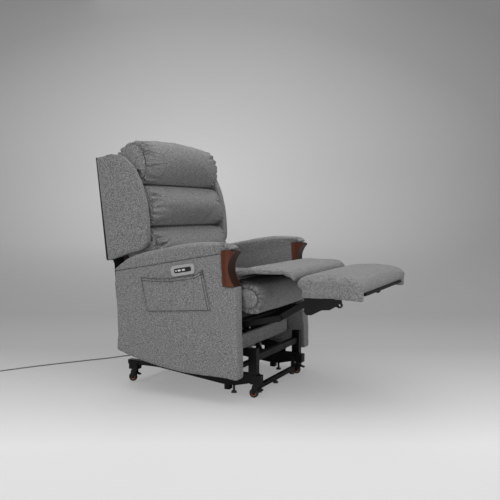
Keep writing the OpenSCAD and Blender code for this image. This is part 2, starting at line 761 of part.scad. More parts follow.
module back_cover() {
    color(BLACK) on_back() {
        slab_x(-arm_in - 30, arm_in + 30, [[cover_y, 656], [cover_y + 6, 656], [cover_y + 10, 400],
            [cover_y + 12, 196], [cover_y + 8, 189], [cover_y, 190]]);
        slab_x(-arm_in + 2, arm_in - 2, [[cover_y + 1, 198], [cover_y + 5, 198], [84, 170], [92.5, 52],
            [89.5, 52], [81, 170], [cover_y - 4, 180]]);
    }
}

module head_pillow() {
    color(FABRIC) on_back() padded_form(smooth([[39.6, 530], [39.6, 600], [24, 664], [-22, 698],
        [-74, 709], [-118, 698], [-146, 664], [-158, 612], [-152, 560], [-134, 522], [-106, 509.5],
        [-30, 508], [30, 510]], 2),
        arm_in - 7, 30, [10, 27]);
}

module middle_pillow() {
    color(FABRIC) on_back() padded_form(smooth([[39, 336], [39, 490], [20, 504], [-100, 506.5],
        [-134, 492], [-152, 452], [-163, 400], [-162, 356], [-142, 327], [-106, 318.5], [20, 320]], 2),
        arm_in - 7, 28, [12, 0]);
}

module lumbar_pillow() {
    color(FABRIC) on_back() padded_form(smooth([[30, 112], [38, 170], [41.4, 300], [20, 314], [-100, 315.5],
        [-136, 303], [-158, 262], [-162, 200], [-154, 146], [-132, 116], [-96, 108], [0, 104]], 2),
        arm_in - 7, 26, [8, 0]);
}

module wing(side) {
    color(FABRIC) on_back() padded_form([[88, 190], [88, 300], [88, 470], [87.5, 620], [70, 647],
        [30, 659], [-10, 655], [-52, 636], [-95, 588], [-126, 510], [-141, 418], [-141, 335],
        [-131, 246], [-106, 219], [-64, 212], [-20, 208], [40, 197]],
        wing_w / 2, 8, [0, 0], side * (arm_in - 4 + wing_w / 2), 3, 1);
}
module wing_left() { wing(1); }
module wing_right() { wing(-1); }

module back_motor() {
    translate([back_motor_x, 0, 0]) {
        motor_body(back_motor_pivot, back_eye, 290, 1);
        color(STEEL) rod_x(-motor_ear_x - plate_t + 1, motor_ear_x + plate_t - 1, back_motor_pivot, pin_d);
    }
}
module back_rod() {
    translate([back_motor_x, 0, 0]) motor_rod(back_motor_pivot, back_eye, 190, back_slack);
}

// ---- Legrest ----

module legrest_drive_links() {
    color(STEEL) {
        both_sides() {
            link_bar(drive_in, drive_out, leg_pivot, knee_pivot, leg_bar_w);
            rod_x(drive_out - 1, plate_out - touch_gap, leg_pivot, pin_d);
            rod_x(lift_link_in - 1, drive_in + 1, knee_pivot, pin_d);
        }
        rod_x(-drive_in - 1, drive_in + 1, leg_pivot, 25);
        for (s = [0, 1]) slab_x(leg_motor_x + (s == 0 ? 7 : -12), leg_motor_x + (s == 0 ? 12 : -7),
            [leg_pivot + [-11, 3], leg_pivot + [11, -3], leg_eye + [9, -1], leg_eye + [3, -9],
             leg_eye + [-5, -8], leg_eye + [-9, 2]]);
        rod_x(leg_motor_x - 12, leg_motor_x + 12, leg_eye, pin_d);
    }
}

module legrest_lift_links() {
    color(STEEL) both_sides() {
        difference() {
            link_bar(lift_link_in, lift_link_out, knee_pivot, ottoman_pivot, leg_bar_w);
            rod_x(lift_link_in - 1, lift_link_out + 1, knee_pivot, bore_d);
        }
        rod_x(ottoman_plate_in - 1, lift_link_in + 1, ottoman_pivot, pin_d);
    }
}

module ottoman_frame() {
    ring = [-499, 427];
    color(STEEL) {
        block([-ottoman_plate_out, -606, 470], [ottoman_plate_out, -350, ottoman_board_top]);
        both_sides() difference() {
            union() {
                slab_x(ottoman_plate_in, ottoman_plate_out,
                    [[-350, 471], [-350, 392], [-358, 380], [-381, 380], [-425, 403], [-459, 406],
                     [-482, 420], [-499, 420], [-508, 432], [-508, 471]]);
                rod_x(ottoman_plate_in - 6, ottoman_plate_out + 0.8, ring, 22);
            }
            rod_x(ottoman_plate_in - 1, ottoman_plate_out + 1, ottoman_pivot, bore_d);
            rod_x(ottoman_plate_in - 7, ottoman_plate_out + 2, ring, 11);
        }
    }
}

module ottoman_pad() {
    low = ottoman_board_top + soft_gap;
    color(FABRIC) {
        padded_form([[-345, low], [-332, low + 12], [-332, 512], [-346, 528], [-368, 536], [-400, 540],
            [-480, 544], [-550, 538], [-592, 527], [-614, 512], [-621, 499], [-614, low + 5], [-600, low],
            [-480, low]], ottoman_half, 14, [0, 4], 0, 3, 1);
        for (s = [-1, 1]) padded_form([[-357, 450], [-352, low + 8], [-614, low + 8], [-609, 448],
            [-560, 450], [-480, 452], [-400, 451]], 9, 5, [0, 0], s * (ottoman_half - 11), 2, 0);
    }
}

module leg_motor() {
    translate([leg_motor_x, 0, 0]) {
        motor_body(leg_motor_pivot, leg_eye, 280, -1);
        color(STEEL) rod_x(-motor_ear_x - plate_t + 1, motor_ear_x + plate_t - 1, leg_motor_pivot, pin_d);
    }
}
module leg_rod() {
    translate([leg_motor_x, 0, 0]) motor_rod(leg_motor_pivot, leg_eye, 180, leg_slack);
}

// ---- Mains lead ----

// Centre line of the lead: out of the relief, down to the floor, and along it
cord_r = cord_d / 2;
run_points = [for (p = [[0, power_y + relief_l, power_z], [0, 594, 113], [0, 616, 103], [1, 638, 80],
    [4, 660, 48], [8, 684, 20], [14, 710, 6], [21, 736, cord_r], [32, 774, cord_r],
    [42, 810, cord_r], [45, 842, cord_r], [34, 870, cord_r], [6, 890, cord_r],
    [-34, 908, cord_r], [-94, 944, cord_r], [-157, 990, cord_r], [-244, 1048, cord_r],
    [-332, 1107, cord_r], [-439, 1171, cord_r], [-510, 1209, cord_r], [-560, 1235, cord_r],
    [-589, 1250, cord_r]]) p + [power_x, 0, 0]];
coil_heading = 152.6;
coil_r = 47;
coil_turns = 6;
coil_pitch = cord_d + 1.6;
coil_layer = cord_d + 0.6;
coil_tail = 36;
loop_rings = 24;

function unit(v) = v / norm(v);
function heading(a) = [cos(a), sin(a), 0];
coil_start = run_points[len(run_points) - 1];
coil_c = coil_start + cord_d * heading(coil_heading) + coil_r * heading(coil_heading - 90);
function coil_in() = coil_turns / 2;
// Centre line of the coil after t turns: in over the lower layer, up, and out again
function coil_point(t) =
    let (a = coil_heading + 90 - 360 * t,
         lower = min(t, coil_in()),
         upper = max(0, t - coil_in() - 0.5),
         climb = min(1, max(0, t - coil_in()) * 2))
    coil_c + (coil_r - coil_pitch * (lower - upper)) * heading(a) + [0, 0, coil_layer * climb];
coil_line = concat([coil_start],
    [for (i = [0 : coil_turns * loop_rings]) coil_point(i / loop_rings)],
    [for (k = [0.5, 1]) coil_point(coil_turns) + k * coil_tail * heading(coil_heading)]);
run_line = concat(
    [for (i = [0 : len(run_points) - 2], j = [0 : 2])
        let (a = run_points[max(0, i - 1)], d = run_points[min(len(run_points) - 1, i + 2)])
        bow(a, run_points[i], run_points[i + 1], d, j / 3)], [coil_start]);

// Unbroken tube of n sides along a line of points, its ends square to the line
module tube(line, d, n) {
    last = len(line) - 1;
    rings = [for (i = [0 : last])
        let (t = unit(line[min(last, i + 1)] - line[max(0, i - 1)]),
             side = unit(cross(t, [0, 0, 1])), up = cross(side, t))
        for (k = [0 : n - 1]) line[i] + d / 2 * (cos(360 * k / n) * side + sin(360 * k / n) * up)];
    polyhedron(points = rings, faces = concat([[for (k = [n - 1 : -1 : 0]) k]],
        [for (i = [0 : last - 1], k = [0 : n - 1])
            [i * n + k, i * n + (k + 1) % n, (i + 1) * n + (k + 1) % n]],
        [for (i = [0 : last - 1], k = [0 : n - 1])
            [i * n + k, (i + 1) * n + (k + 1) % n, (i + 1) * n + k]],
        [[for (k = [0 : n - 1]) last * n + k]]), convexity = 10);
}

// Least gap between passes of the coil that lie more than a quarter turn apart
function coil_gap() = min([for (i = [0 : len(coil_line) - 1], j = [i + 6 : 1 : len(coil_line) - 1])
    norm(coil_line[i] - coil_line[j])]) - cord_d;
function length_of(p, i = 1) = i >= len(p) ? 0 : norm(p[i] - p[i - 1]) + length_of(p, i + 1);

module cord_run() {
    echo(cord_run_length = length_of(run_line));
    color(BLACK) tube(run_line, cord_d, 8);
}

module cord_coil() {
    echo(coil_length = length_of(coil_line), coil_least_gap = coil_gap());
    color(BLACK) tube(coil_line, cord_d, 6);
}

// Two-pin plug lying on the floor past the coil
module mains_plug() {
    h = 2 * (coil_start[2] + coil_layer);
    face = coil_line[len(coil_line) - 1];
    translate([face[0], face[1], 0]) rotate([0, 0, coil_heading - 90]) {
        color(BLACK) {
            translate([0, 0, h / 2]) rotate([-90, 0, 0])
                cylinder(h = 16, d1 = cord_d + 3, d2 = cord_d + 6, $fn = 32);
            slab_x(-12, 12, [[15, 3], [24, 0], [52, 0], [52, h], [24, h], [15, h - 3]]);
        }
        color(SILVER) for (x = [-6.35, 6.35])
            translate([x - 0.8, 51, h / 2 - 3.2]) cube([1.6, 18, 6.4]);
    }
}

base_side_frames();
base_cross_frame();
base_pivot_brackets();
glide_feet();
power_box();
castor_fork_front_left();
castor_fork_front_right();
castor_fork_rear_left();
castor_fork_rear_right();
castor_wheel_front_left();
castor_wheel_front_right();
castor_wheel_rear_left();
castor_wheel_rear_right();
castor_brake_front_left();
castor_brake_front_right();
castor_brake_rear_left();
castor_brake_rear_right();
lift_front_arms();
lift_rear_arms();
lift_motor();
lift_rod();
chassis_side_plates();
chassis_cross_tubes();
front_rail();
seat_side_rails();
seat_springs();
seat_cushion();
chaise_pad();
chaise_flap();
arm_panel_left();
arm_panel_right();
arm_pad_left();
arm_pad_right();
arm_knuckle_left();
arm_knuckle_right();
side_pocket();
control_bezel();
control_face();
home_button();
back_rocker();
leg_rocker();
rear_skirt();
back_frame();
back_cover();
head_pillow();
middle_pillow();
lumbar_pillow();
wing_left();
wing_right();
back_motor();
back_rod();
legrest_drive_links();
legrest_lift_links();
ottoman_frame();
ottoman_pad();
leg_motor();
leg_rod();
cord_run();
cord_coil();
mains_plug();
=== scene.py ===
import math
import random

import bpy
import numpy as np
from mathutils import Matrix, Vector


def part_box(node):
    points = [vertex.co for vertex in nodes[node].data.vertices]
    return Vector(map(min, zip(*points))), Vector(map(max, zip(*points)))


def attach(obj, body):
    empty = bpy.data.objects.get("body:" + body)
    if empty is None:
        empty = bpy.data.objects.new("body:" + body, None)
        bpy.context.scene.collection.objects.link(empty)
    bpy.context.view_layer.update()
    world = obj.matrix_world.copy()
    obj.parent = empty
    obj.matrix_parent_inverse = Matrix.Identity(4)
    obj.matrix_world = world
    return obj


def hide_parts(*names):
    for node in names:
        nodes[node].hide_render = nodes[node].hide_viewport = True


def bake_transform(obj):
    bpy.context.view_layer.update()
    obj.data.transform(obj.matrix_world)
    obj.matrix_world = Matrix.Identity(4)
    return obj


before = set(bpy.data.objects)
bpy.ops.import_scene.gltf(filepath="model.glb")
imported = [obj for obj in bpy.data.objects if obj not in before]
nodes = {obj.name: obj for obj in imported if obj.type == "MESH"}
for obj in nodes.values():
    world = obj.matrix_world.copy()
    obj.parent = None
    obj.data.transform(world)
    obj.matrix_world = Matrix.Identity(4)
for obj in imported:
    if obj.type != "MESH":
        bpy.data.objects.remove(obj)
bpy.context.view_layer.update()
bpy.ops.object.select_all(action="DESELECT")

# ---- Camera ----
# A long lens at standing height, off the chair's front corner on the
# sitter's right, level with the arms.
CAMERA_AT = (-2.7609, -1.3432, 0.800)
CAMERA_LOOKS = (0.8935, 0.4453, -0.0591)
CAMERA_LENS = 47.88

bpy.ops.object.camera_add(location=CAMERA_AT)
camera = bpy.context.object
camera.rotation_euler = Vector(CAMERA_LOOKS).to_track_quat("-Z", "Y").to_euler()
camera.data.lens = CAMERA_LENS
camera.data.sensor_width = 36
bpy.context.scene.camera = camera

# ---- Mains lead ----
# A round black rubber lead from the power box's relief, down to the floor
# and away over it. The rest is wound in a round coil of two layers, and the
# moulded plug lies at its end.
LEAD_D = 0.006
LEAD_RUN = [
    (0.160, 0.578, 0.114),
    (0.160, 0.594, 0.113),
    (0.160, 0.616, 0.103),
    (0.161, 0.638, 0.080),
    (0.164, 0.660, 0.048),
    (0.168, 0.684, 0.020),
    (0.174, 0.710, 0.006),
    (0.181, 0.736, 0.003),
    (0.192, 0.774, 0.003),
    (0.202, 0.810, 0.003),
    (0.205, 0.842, 0.003),
    (0.194, 0.870, 0.003),
    (0.166, 0.890, 0.003),
    (0.126, 0.908, 0.003),
    (0.066, 0.944, 0.003),
    (0.003, 0.990, 0.003),
    (-0.084, 1.048, 0.003),
    (-0.172, 1.107, 0.003),
    (-0.279, 1.171, 0.003),
    (-0.350, 1.209, 0.003),
    (-0.400, 1.235, 0.003),
    (-0.429, 1.250, 0.003),
]
COIL_HEADING = math.radians(152.6)
COIL_R = 0.047
COIL_TURNS = 6
COIL_PITCH = LEAD_D + 0.0016
COIL_LAYER = LEAD_D + 0.0006
COIL_TAIL = 0.036


class Socket:
    """A value in a finish: sums and products of it add their own Math nodes."""

    def __init__(self, finish, out):
        self.finish = finish
        self.out = out

    def maths(self, operation, first, second=0.0):
        return self.finish.maths(operation, first, second)

    def __abs__(self):
        return self.maths("ABSOLUTE", self)

    def __add__(self, other):
        return self.maths("ADD", self, other)

    def __sub__(self, other):
        return self.maths("SUBTRACT", self, other)

    def __rsub__(self, other):
        return self.maths("SUBTRACT", other, self)

    def __mul__(self, other):
        return self.maths("MULTIPLY", self, other)

    def __pow__(self, other):
        return self.maths("POWER", self, other)

    __radd__ = __add__
    __rmul__ = __mul__


class Finish:
    """A material: its shader's steady values, and the nodes that vary it."""

    def __init__(self, name, **steady):
        self.material = bpy.data.materials.new(name)
        self.material.use_nodes = True
        self.tree = self.material.node_tree
        self.shader = self.tree.nodes["Principled BSDF"]
        for key, value in steady.items():
            self.shader.inputs[key.replace("_", " ")].default_value = value

    def node(self, kind, settings, values, out=0):
        made = self.tree.nodes.new("ShaderNode" + kind)
        for key, value in settings.items():
            if key == "stops":
                while len(made.color_ramp.elements) < len(value):
                    made.color_ramp.elements.new(0.5)
                for stop, (place, colour) in zip(made.color_ramp.elements, value):
                    stop.position = place
                    stop.color = (*colour, 1)
            else:
                setattr(made, key, value)
        for key, value in values.items():
            if isinstance(value, Socket):
                self.tree.links.new(value.out, made.inputs[key])
            else:
                made.inputs[key].default_value = value
        return Socket(self, made.outputs[out])

    def places(self, stretch=(1, 1, 1)):
        at = self.node("TexCoord", {}, {}, "Object")
        return self.node("Mapping", {}, {"Vector": at, "Scale": stretch})

    def axes(self, coordinates="Object"):
        """The piece's own X, Y and Z, or its U and V, at each point."""
        at = self.node("TexCoord", {}, {}, coordinates)
        return [self.node("SeparateXYZ", {}, {0: at}, axis) for axis in "XYZ"]

    def maths(self, operation, first, second=0.0):
        return self.node("Math", {"operation": operation}, {0: first, 1: second})

    def noise(self, scale, detail=3, stretch=(1, 1, 1)):
        at = self.places(stretch)
        return self.node("TexNoise", {}, {"Vector": at, "Scale": scale, "Detail": detail})

    def mixed(self, share, first, second):
        return self.node("Mix", {"data_type": "RGBA"}, {0: share, 6: first, 7: second}, 2)

    def between(self, value, low, high):
        """0 below low, 1 above high, and even in between; low may be the higher one."""
        return self.node("MapRange", {}, {0: value, 1: low, 2: high, 3: 0, 4: 1})

    def ramp(self, by, *stops):
        return self.node("ValToRGB", {"stops": stops}, {0: by})

    def feed(self, name, value):
        self.tree.links.new(value.out, self.shader.inputs[name])

    def bump(self, height, distance):
        self.feed("Normal", self.node("Bump", {}, {"Height": height, "Distance": distance}))

    def put_on(self, *pieces):
        for piece in pieces:
            piece.data.materials.clear()
            piece.data.materials.append(self.material)


def grey(value):
    return (value, value, value)


def heading(angle):
    return Vector((math.cos(angle), math.sin(angle), 0))


def through(points, steps):
    """Points along the smooth line through the given ones."""
    line = []
    for i in range(len(points) - 1):
        a, b = points[max(0, i - 1)], points[i]
        c, d = points[i + 1], points[min(len(points) - 1, i + 2)]
        for j in range(steps):
            t = j / steps
            square = (2 * a - 5 * b + 4 * c - d) * t * t
            cube = (3 * b - a - 3 * c + d) * t**3
            line.append(0.5 * (2 * b + (c - a) * t + square + cube))
    return line + [points[-1]]


def coil_from(start, per_turn=24):
    """The coil's centre line: inwards on the floor, up, and outwards again."""
    centre = start + LEAD_D * heading(COIL_HEADING)
    centre += COIL_R * heading(COIL_HEADING - math.pi / 2)
    line = []
    for i in range(COIL_TURNS * per_turn + 1):
        turn = i / per_turn
        beyond = turn - COIL_TURNS / 2
        r = COIL_R - COIL_PITCH * (min(turn, COIL_TURNS / 2) - max(0, beyond - 0.5))
        angle = COIL_HEADING + math.pi / 2 - 2 * math.pi * turn
        rise = COIL_LAYER * min(1, max(0, beyond) * 2)
        line.append(centre + r * heading(angle) + Vector((0, 0, rise)))
    return line


lead_line = through([Vector(p) for p in LEAD_RUN], 3)
lead_line += coil_from(lead_line[-1])
coil_end = lead_line[-1]
lead_line += [coil_end + COIL_TAIL * k * heading(COIL_HEADING) for k in (0.5, 1)]
lead_length = sum((b - a).length for a, b in zip(lead_line, lead_line[1:]))

lead_curve = bpy.data.curves.new("mains_lead", "CURVE")
lead_curve.dimensions = "3D"
lead_curve.bevel_depth = LEAD_D / 2
lead_curve.bevel_resolution = 3
lead_curve.use_fill_caps = True
strand = lead_curve.splines.new("POLY")
strand.points.add(len(lead_line) - 1)
for point, at in zip(strand.points, lead_line):
    point.co = (*at, 1)
strand.use_smooth = True
lead = bpy.data.objects.new("mains_lead", lead_curve)
bpy.context.collection.objects.link(lead)

sheath = Finish("lead_rubber")
scuff = sheath.noise(60)
sheath.feed("Base Color", sheath.ramp(scuff, (0.3, grey(0.12)), (0.75, grey(0.20))))
sheath.feed("Roughness", 0.4 + 0.2 * scuff)
sheath.put_on(lead, nodes["mains_plug"])
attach(lead, "base")
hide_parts("cord_run", "cord_coil")

# ---- Studio ----
# A pale paper floor that curves up into a wall, lit by a large soft box overhead, three smaller
# ones and an even sky. The paper's colour holds painted light: a painted pool of light on the wall
# around a point behind the chair, a painted falloff on the floor from bright near the camera to
# darker far off, and a glow seen only by the camera that lightens the shadows on it. The paper is
# clear when seen from its back.
WALL_BEYOND = 3.2
CURVE_R = 1.2
STUDIO_W = 26
FLOOR_L = 16
WALL_H = 9
# Painted light: the floor tones darken the floor's colour away from the camera, and the wall tones
# paint a pool of light on the wall around a point behind the chair.
LIGHT_POOL_SQUAT = 2.0
LIGHT_POOL_AT = (2.6, 1.9, 1.15 * LIGHT_POOL_SQUAT)
PAINTED_GLOW_SHARE = 0.5
FLOOR_PAINTED_FALLOFF = ((0.10, 0.74), (0.20, 0.78), (0.30, 0.62), (0.42, 0.48), (0.52, 0.39), (0.75, 0.34))
WALL_PAINTED_POOL = ((0.05, 0.66), (0.30, 0.54), (0.55, 0.42), (0.75, 0.32), (1.0, 0.26))
SKY_STRENGTH = 0.36
SOFT_BOXES = [  # place, aim, size, watts
    ((-0.4, -0.2, 3.5), (0.0, 0.2, 0.0), 5.0, 114),
    ((2.6, 1.6, 3.0), (0.2, 0.2, 0.2), 2.4, 45),
    ((-3.2, -0.5, 0.50), (-0.3, 0.1, 0.42), 1.6, 18),
    ((-0.7, -3.2, 0.40), (0.0, -0.1, 0.40), 1.4, 16),
]

look = Vector((CAMERA_LOOKS[0], CAMERA_LOOKS[1], 0)).normalized()
bpy.ops.mesh.primitive_plane_add(size=1, location=(0, 0, 0))
studio = bpy.context.object
studio.name = "studio"
studio.scale = (FLOOR_L, STUDIO_W, 1)
bpy.ops.object.transform_apply(location=False, rotation=False)
studio.location = look * (WALL_BEYOND - FLOOR_L / 2)
studio.rotation_euler.z = math.atan2(look.y, look.x)
bpy.ops.object.mode_set(mode="EDIT")
bpy.ops.mesh.select_all(action="DESELECT")
bpy.ops.object.mode_set(mode="OBJECT")
for edge in studio.data.edges:
    edge.select = all(studio.data.vertices[v].co.x > 0 for v in edge.vertices)
bpy.ops.object.mode_set(mode="EDIT")
bpy.ops.mesh.select_mode(type="EDGE")
bpy.ops.mesh.extrude_region_move(TRANSFORM_OT_translate={"value": (0, 0, WALL_H)})
bpy.ops.object.mode_set(mode="OBJECT")
for edge in studio.data.edges:
    at = [studio.data.vertices[v].co for v in edge.vertices]
    edge.select = all(p.x > 0 and p.z < 0.01 for p in at)
bpy.ops.object.mode_set(mode="EDIT")
bpy.ops.mesh.bevel(offset=CURVE_R, segments=16)
bpy.ops.object.mode_set(mode="OBJECT")
bpy.ops.object.transform_apply(location=True, rotation=True, scale=True)
bpy.ops.object.shade_smooth()

paper = Finish("studio_paper", Roughness=0.85)
spot = paper.node("TexCoord", {}, {}, "Object")
depth = paper.node("VectorMath", {"operation": "DOT_PRODUCT"}, {0: spot, 1: tuple(look)}, "Value")
height = paper.axes()[2]
taller = paper.places((1, 1, LIGHT_POOL_SQUAT))
off_light_pool = paper.node("VectorMath", {"operation": "DISTANCE"}, {0: taller, 1: LIGHT_POOL_AT}, "Value")
drift = paper.noise(0.7, 3)
floor_painted_light = paper.ramp(
    0.2 * depth + 0.35 + 0.03 * drift, *[(place, grey(tone)) for place, tone in FLOOR_PAINTED_FALLOFF]
)
wall_painted_light = paper.ramp(
    0.25 * off_light_pool + 0.04 * drift, *[(place, grey(tone)) for place, tone in WALL_PAINTED_POOL]
)
up_wall = paper.ramp(height, (0.0, grey(0)), (0.5, grey(1)))
tone = paper.mixed(up_wall, floor_painted_light, wall_painted_light)
paper.feed("Base Color", tone)
# Painted glow: half of the paper's colour reaches the camera as emission, which lightens the
# shadows on it.
painted_glow = paper.node("Emission", {}, {"Color": tone, "Strength": 1.0})
seen = paper.node("LightPath", {}, {}, "Is Camera Ray")
plain = Socket(paper, paper.shader.outputs[0])
lit = paper.node("MixShader", {}, {0: PAINTED_GLOW_SHARE * seen, 1: plain, 2: painted_glow})
behind = paper.node("NewGeometry", {}, {}, "Backfacing")
clear = paper.node("BsdfTransparent", {}, {})
paper.tree.links.new(
    paper.node("MixShader", {}, {0: seen * behind, 1: lit, 2: clear}).out,
    paper.tree.nodes["Material Output"].inputs["Surface"],
)
paper.put_on(studio)

for place, aim, size, watts in SOFT_BOXES:
    bpy.ops.object.light_add(type="AREA", location=place)
    lamp = bpy.context.object
    lamp.data.size = size
    lamp.data.energy = watts
    lamp.rotation_euler = (Vector(aim) - Vector(place)).to_track_quat("-Z", "Y").to_euler()
sky = bpy.data.worlds.new("sky")
bpy.context.scene.world = sky
sky.use_nodes = True
sky.node_tree.nodes["Background"].inputs["Color"].default_value = (1, 1, 1, 1)
sky.node_tree.nodes["Background"].inputs["Strength"].default_value = SKY_STRENGTH
bpy.context.scene.view_settings.view_transform = "Standard"

# ---- Painted steel ----
# The base, the lift arms, the chassis and the legrest's links are tube and
# plate, cut, welded and powder-coated black.
STEEL_PARTS = [
    "base_side_frames",
    "base_cross_frame",
    "base_pivot_brackets",
    "lift_front_arms",
    "lift_rear_arms",
    "chassis_side_plates",
    "chassis_cross_tubes",
    "legrest_drive_links",
    "legrest_lift_links",
    "ottoman_frame",
]

paint = Finish("black_paint", **{"Specular IOR Level": 0.22})
cloud = paint.noise(16)
peel = paint.noise(650, 2)
paint.feed("Base Color", paint.ramp(cloud, (0.3, grey(0.0025)), (0.7, grey(0.006))))
paint.feed("Roughness", 0.36 + 0.22 * cloud)
paint.bump(peel, 0.0001)
paint.put_on(*[nodes[name] for name in STEEL_PARTS])

# ---- Castors and feet ----
# Four small castors with moulded forks and foot levers. Each wheel has a
# ring of copper-brown plastic pressed into both of its faces. Black feet
# are pressed into the low bars and the side frames.
CASTORS = {  # place of each castor's stem
    "front_left": (0.2375, -0.117),
    "front_right": (-0.2375, -0.117),
    "rear_left": (0.2375, 0.517),
    "rear_right": (-0.2375, 0.517),
}
AXLE_BEHIND = 0.012
AXLE_Z = 0.020
HUB_FACE = 0.0052
HUB_R = 0.0108
HUB_RIM = 0.0022

moulded = Finish("black_plastic", **{"Specular IOR Level": 0.3})
mottle = moulded.noise(120)
moulded.feed("Base Color", moulded.ramp(mottle, (0.3, grey(0.004)), (0.7, grey(0.009))))
moulded.feed("Roughness", 0.34 + 0.2 * mottle)
moulded.bump(moulded.noise(1500, 2), 0.00008)
moulded.put_on(*[nodes["castor_fork_" + c] for c in CASTORS])
moulded.put_on(*[nodes["castor_brake_" + c] for c in CASTORS])
tread = Finish("castor_tread")
grime = tread.noise(200)
tread.feed("Base Color", tread.ramp(grime, (0.3, grey(0.012)), (0.7, grey(0.030))))
tread.feed("Roughness", 0.45 + 0.25 * grime)
tread.put_on(*[nodes["castor_wheel_" + c] for c in CASTORS], nodes["glide_feet"])
copper = Finish("hub_plastic")
swirl = copper.noise(240, 2)
copper.feed(
    "Base Color", copper.ramp(swirl, (0.3, (0.34, 0.095, 0.030)), (0.7, (0.48, 0.150, 0.055)))
)
copper.feed("Roughness", 0.28 + 0.2 * swirl)

bpy.ops.object.select_all(action="DESELECT")
for corner, (stem_x, stem_y) in CASTORS.items():
    faces = []
    for side in (-1, 1):
        bpy.ops.mesh.primitive_torus_add(
            major_radius=HUB_R,
            minor_radius=HUB_RIM,
            major_segments=40,
            minor_segments=12,
            location=(stem_x + side * HUB_FACE, stem_y + AXLE_BEHIND, AXLE_Z),
            rotation=(0, math.pi / 2, 0),
        )
        bpy.ops.object.mode_set(mode="EDIT")
        bpy.ops.transform.resize(value=(0.55, 1, 1))
        bpy.ops.object.mode_set(mode="OBJECT")
        faces.append(bpy.context.object)
    for face in faces:
        face.select_set(True)
    bpy.ops.object.join()
    bpy.ops.object.transform_apply(location=True, rotation=True, scale=True)
    bpy.ops.object.shade_smooth()
    hub = bpy.context.object
    hub.name = "castor_hub_" + corner
    copper.put_on(hub)
    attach(hub, "wheel_" + corner)
    bpy.ops.object.select_all(action="DESELECT")

# ---- Motors and power box ----
# Three linear motors with black moulded housings and bright steel rods, and
# the moulded power box that the lead comes out of.
moulded.put_on(*[nodes[n] for n in ("lift_motor", "back_motor", "leg_motor", "power_box")])
bright = Finish("bright_steel", Metallic=1.0)
smear = bright.noise(90, 3, (1, 1, 8))
bright.feed("Base Color", bright.ramp(smear, (0.3, grey(0.42)), (0.7, grey(0.58))))
bright.feed("Roughness", 0.22 + 0.2 * smear)
bright.put_on(*[nodes[n] for n in ("lift_rod", "back_rod", "leg_rod")])

# ---- Timber and springs ----
# Sawn timber rails, stained black, carry the seat, the arms and the back, and
# zigzag spring wires lie under the seat cushion.
timber = Finish("timber", Roughness=0.7)
ring = timber.noise(9, 4, (1, 0.08, 1))
timber.feed(
    "Base Color", timber.ramp(ring, (0.3, (0.022, 0.015, 0.010)), (0.7, (0.045, 0.030, 0.019)))
)
timber.bump(timber.noise(160, 3, (1, 0.05, 1)), 0.0003)
timber.put_on(nodes["seat_side_rails"], nodes["back_frame"])
wire = Finish("spring_wire", Metallic=0.7)
tarnish = wire.noise(50)
wire.feed("Base Color", wire.ramp(tarnish, (0.3, grey(0.05)), (0.7, grey(0.10))))
wire.feed("Roughness", 0.35 + 0.2 * tarnish)
wire.put_on(nodes["seat_springs"])

# ---- Seat cushion ----
# Foam in a sewn cover of heathered grey weave. It rolls over the front of the seat, and each end
# of the roll is a separate panel, gathered where it is sewn to the rest. Its top under the
# footrest bridge is painted near black, a painted shadow of the bridge, and its seam lines and
# gathers carry painted shade.
SEAT_HALF = 0.331
SEAT_TOP = 0.5056
ROLL_CENTRE = (-0.10, 0.4345)
ROLL_HALF = (0.098, 0.0715)
ROLL_END = 0.331
ROLL_ROUND = 0.085
END_PANEL = 0.78
BRIDGE_SHADOW_FROM = (0.484, 0.499)
BRIDGE_SHADOW_BEFORE = -0.03
THREAD_D = 0.0010
FILL_STEPS = 16
SEAM_SINKS = 1.5
PLEAT_SINKS = 3.5


def line_at(finish, away, wide):
    """1 on a line and 0 beside it, from the distance to it."""
    return finish.node(
        "MapRange",
        {"interpolation_type": "SMOOTHSTEP"},
        {0: abs(away), 1: 0, 2: wide, 3: 1, 4: 0},
    )


def cloth(name, seam=None, folds=None):
    """Heathered weave of mixed grey threads, sunk by bumps along seams and folds, with painted
    shade that darkens the seam lines and the folds.
    """
    weave = Finish(name, Roughness=0.95, **{"Sheen Weight": 0.05, "Sheen Roughness": 0.6})
    weft = weave.noise(620, 2, (1, 0.40, 1))
    warp = weave.noise(620, 2, (1, 1, 0.40))
    heather = weave.noise(400, 2)
    slub = weave.noise(170, 2, (1, 0.7, 0.7))
    mix = 0.32 * weft + 0.32 * warp + 0.32 * heather + 0.05 * slub
    colour = weave.ramp(mix, (0.42, grey(0.040)), (0.62, grey(0.420)))
    threads = weft * 0.5 + warp * 0.5
    if seam is not None:
        seam_and_shade = seam(weave)
        threads = threads - SEAM_SINKS * seam_and_shade
        # Painted shade: seam lines darkened to near black.
        colour = weave.mixed(0.9 * seam_and_shade, colour, (*grey(0.012), 1))
    if folds is not None:
        fold_and_shade = folds(weave)
        threads = threads - PLEAT_SINKS * fold_and_shade
        # Painted shade: folds darkened.
        colour = weave.mixed(0.42 * fold_and_shade, colour, (*grey(0.03), 1))
    weave.feed("Base Color", colour)
    weave.bump(threads, THREAD_D)
    return weave


def pleats(finish, away, along, reach, pitch):
    """Fine creases out from a seam, from 0 to 1: away and along are distances from and on it."""
    place = along * (1 / pitch)
    fold = finish.node(
        "TexNoise", {"noise_dimensions": "1D"}, {"W": place, "Scale": 1.0, "Detail": 1.0}
    )
    sharp = finish.between(fold, 0.54, 0.68)
    fade = finish.node("MapRange", {}, {0: away, 1: 0, 2: reach, 3: 1, 4: 0})
    return sharp * fade * finish.between(away, -0.008, 0)


grey_weave = cloth("grey_weave")


def corners(piece):
    flat = np.empty(3 * len(piece.data.vertices))
    piece.data.vertices.foreach_get("co", flat)
    return flat.reshape(-1, 3)


def outward(piece):
    flat = np.empty(3 * len(piece.data.vertices))
    piece.data.vertices.foreach_get("normal", flat)
    return flat.reshape(-1, 3)


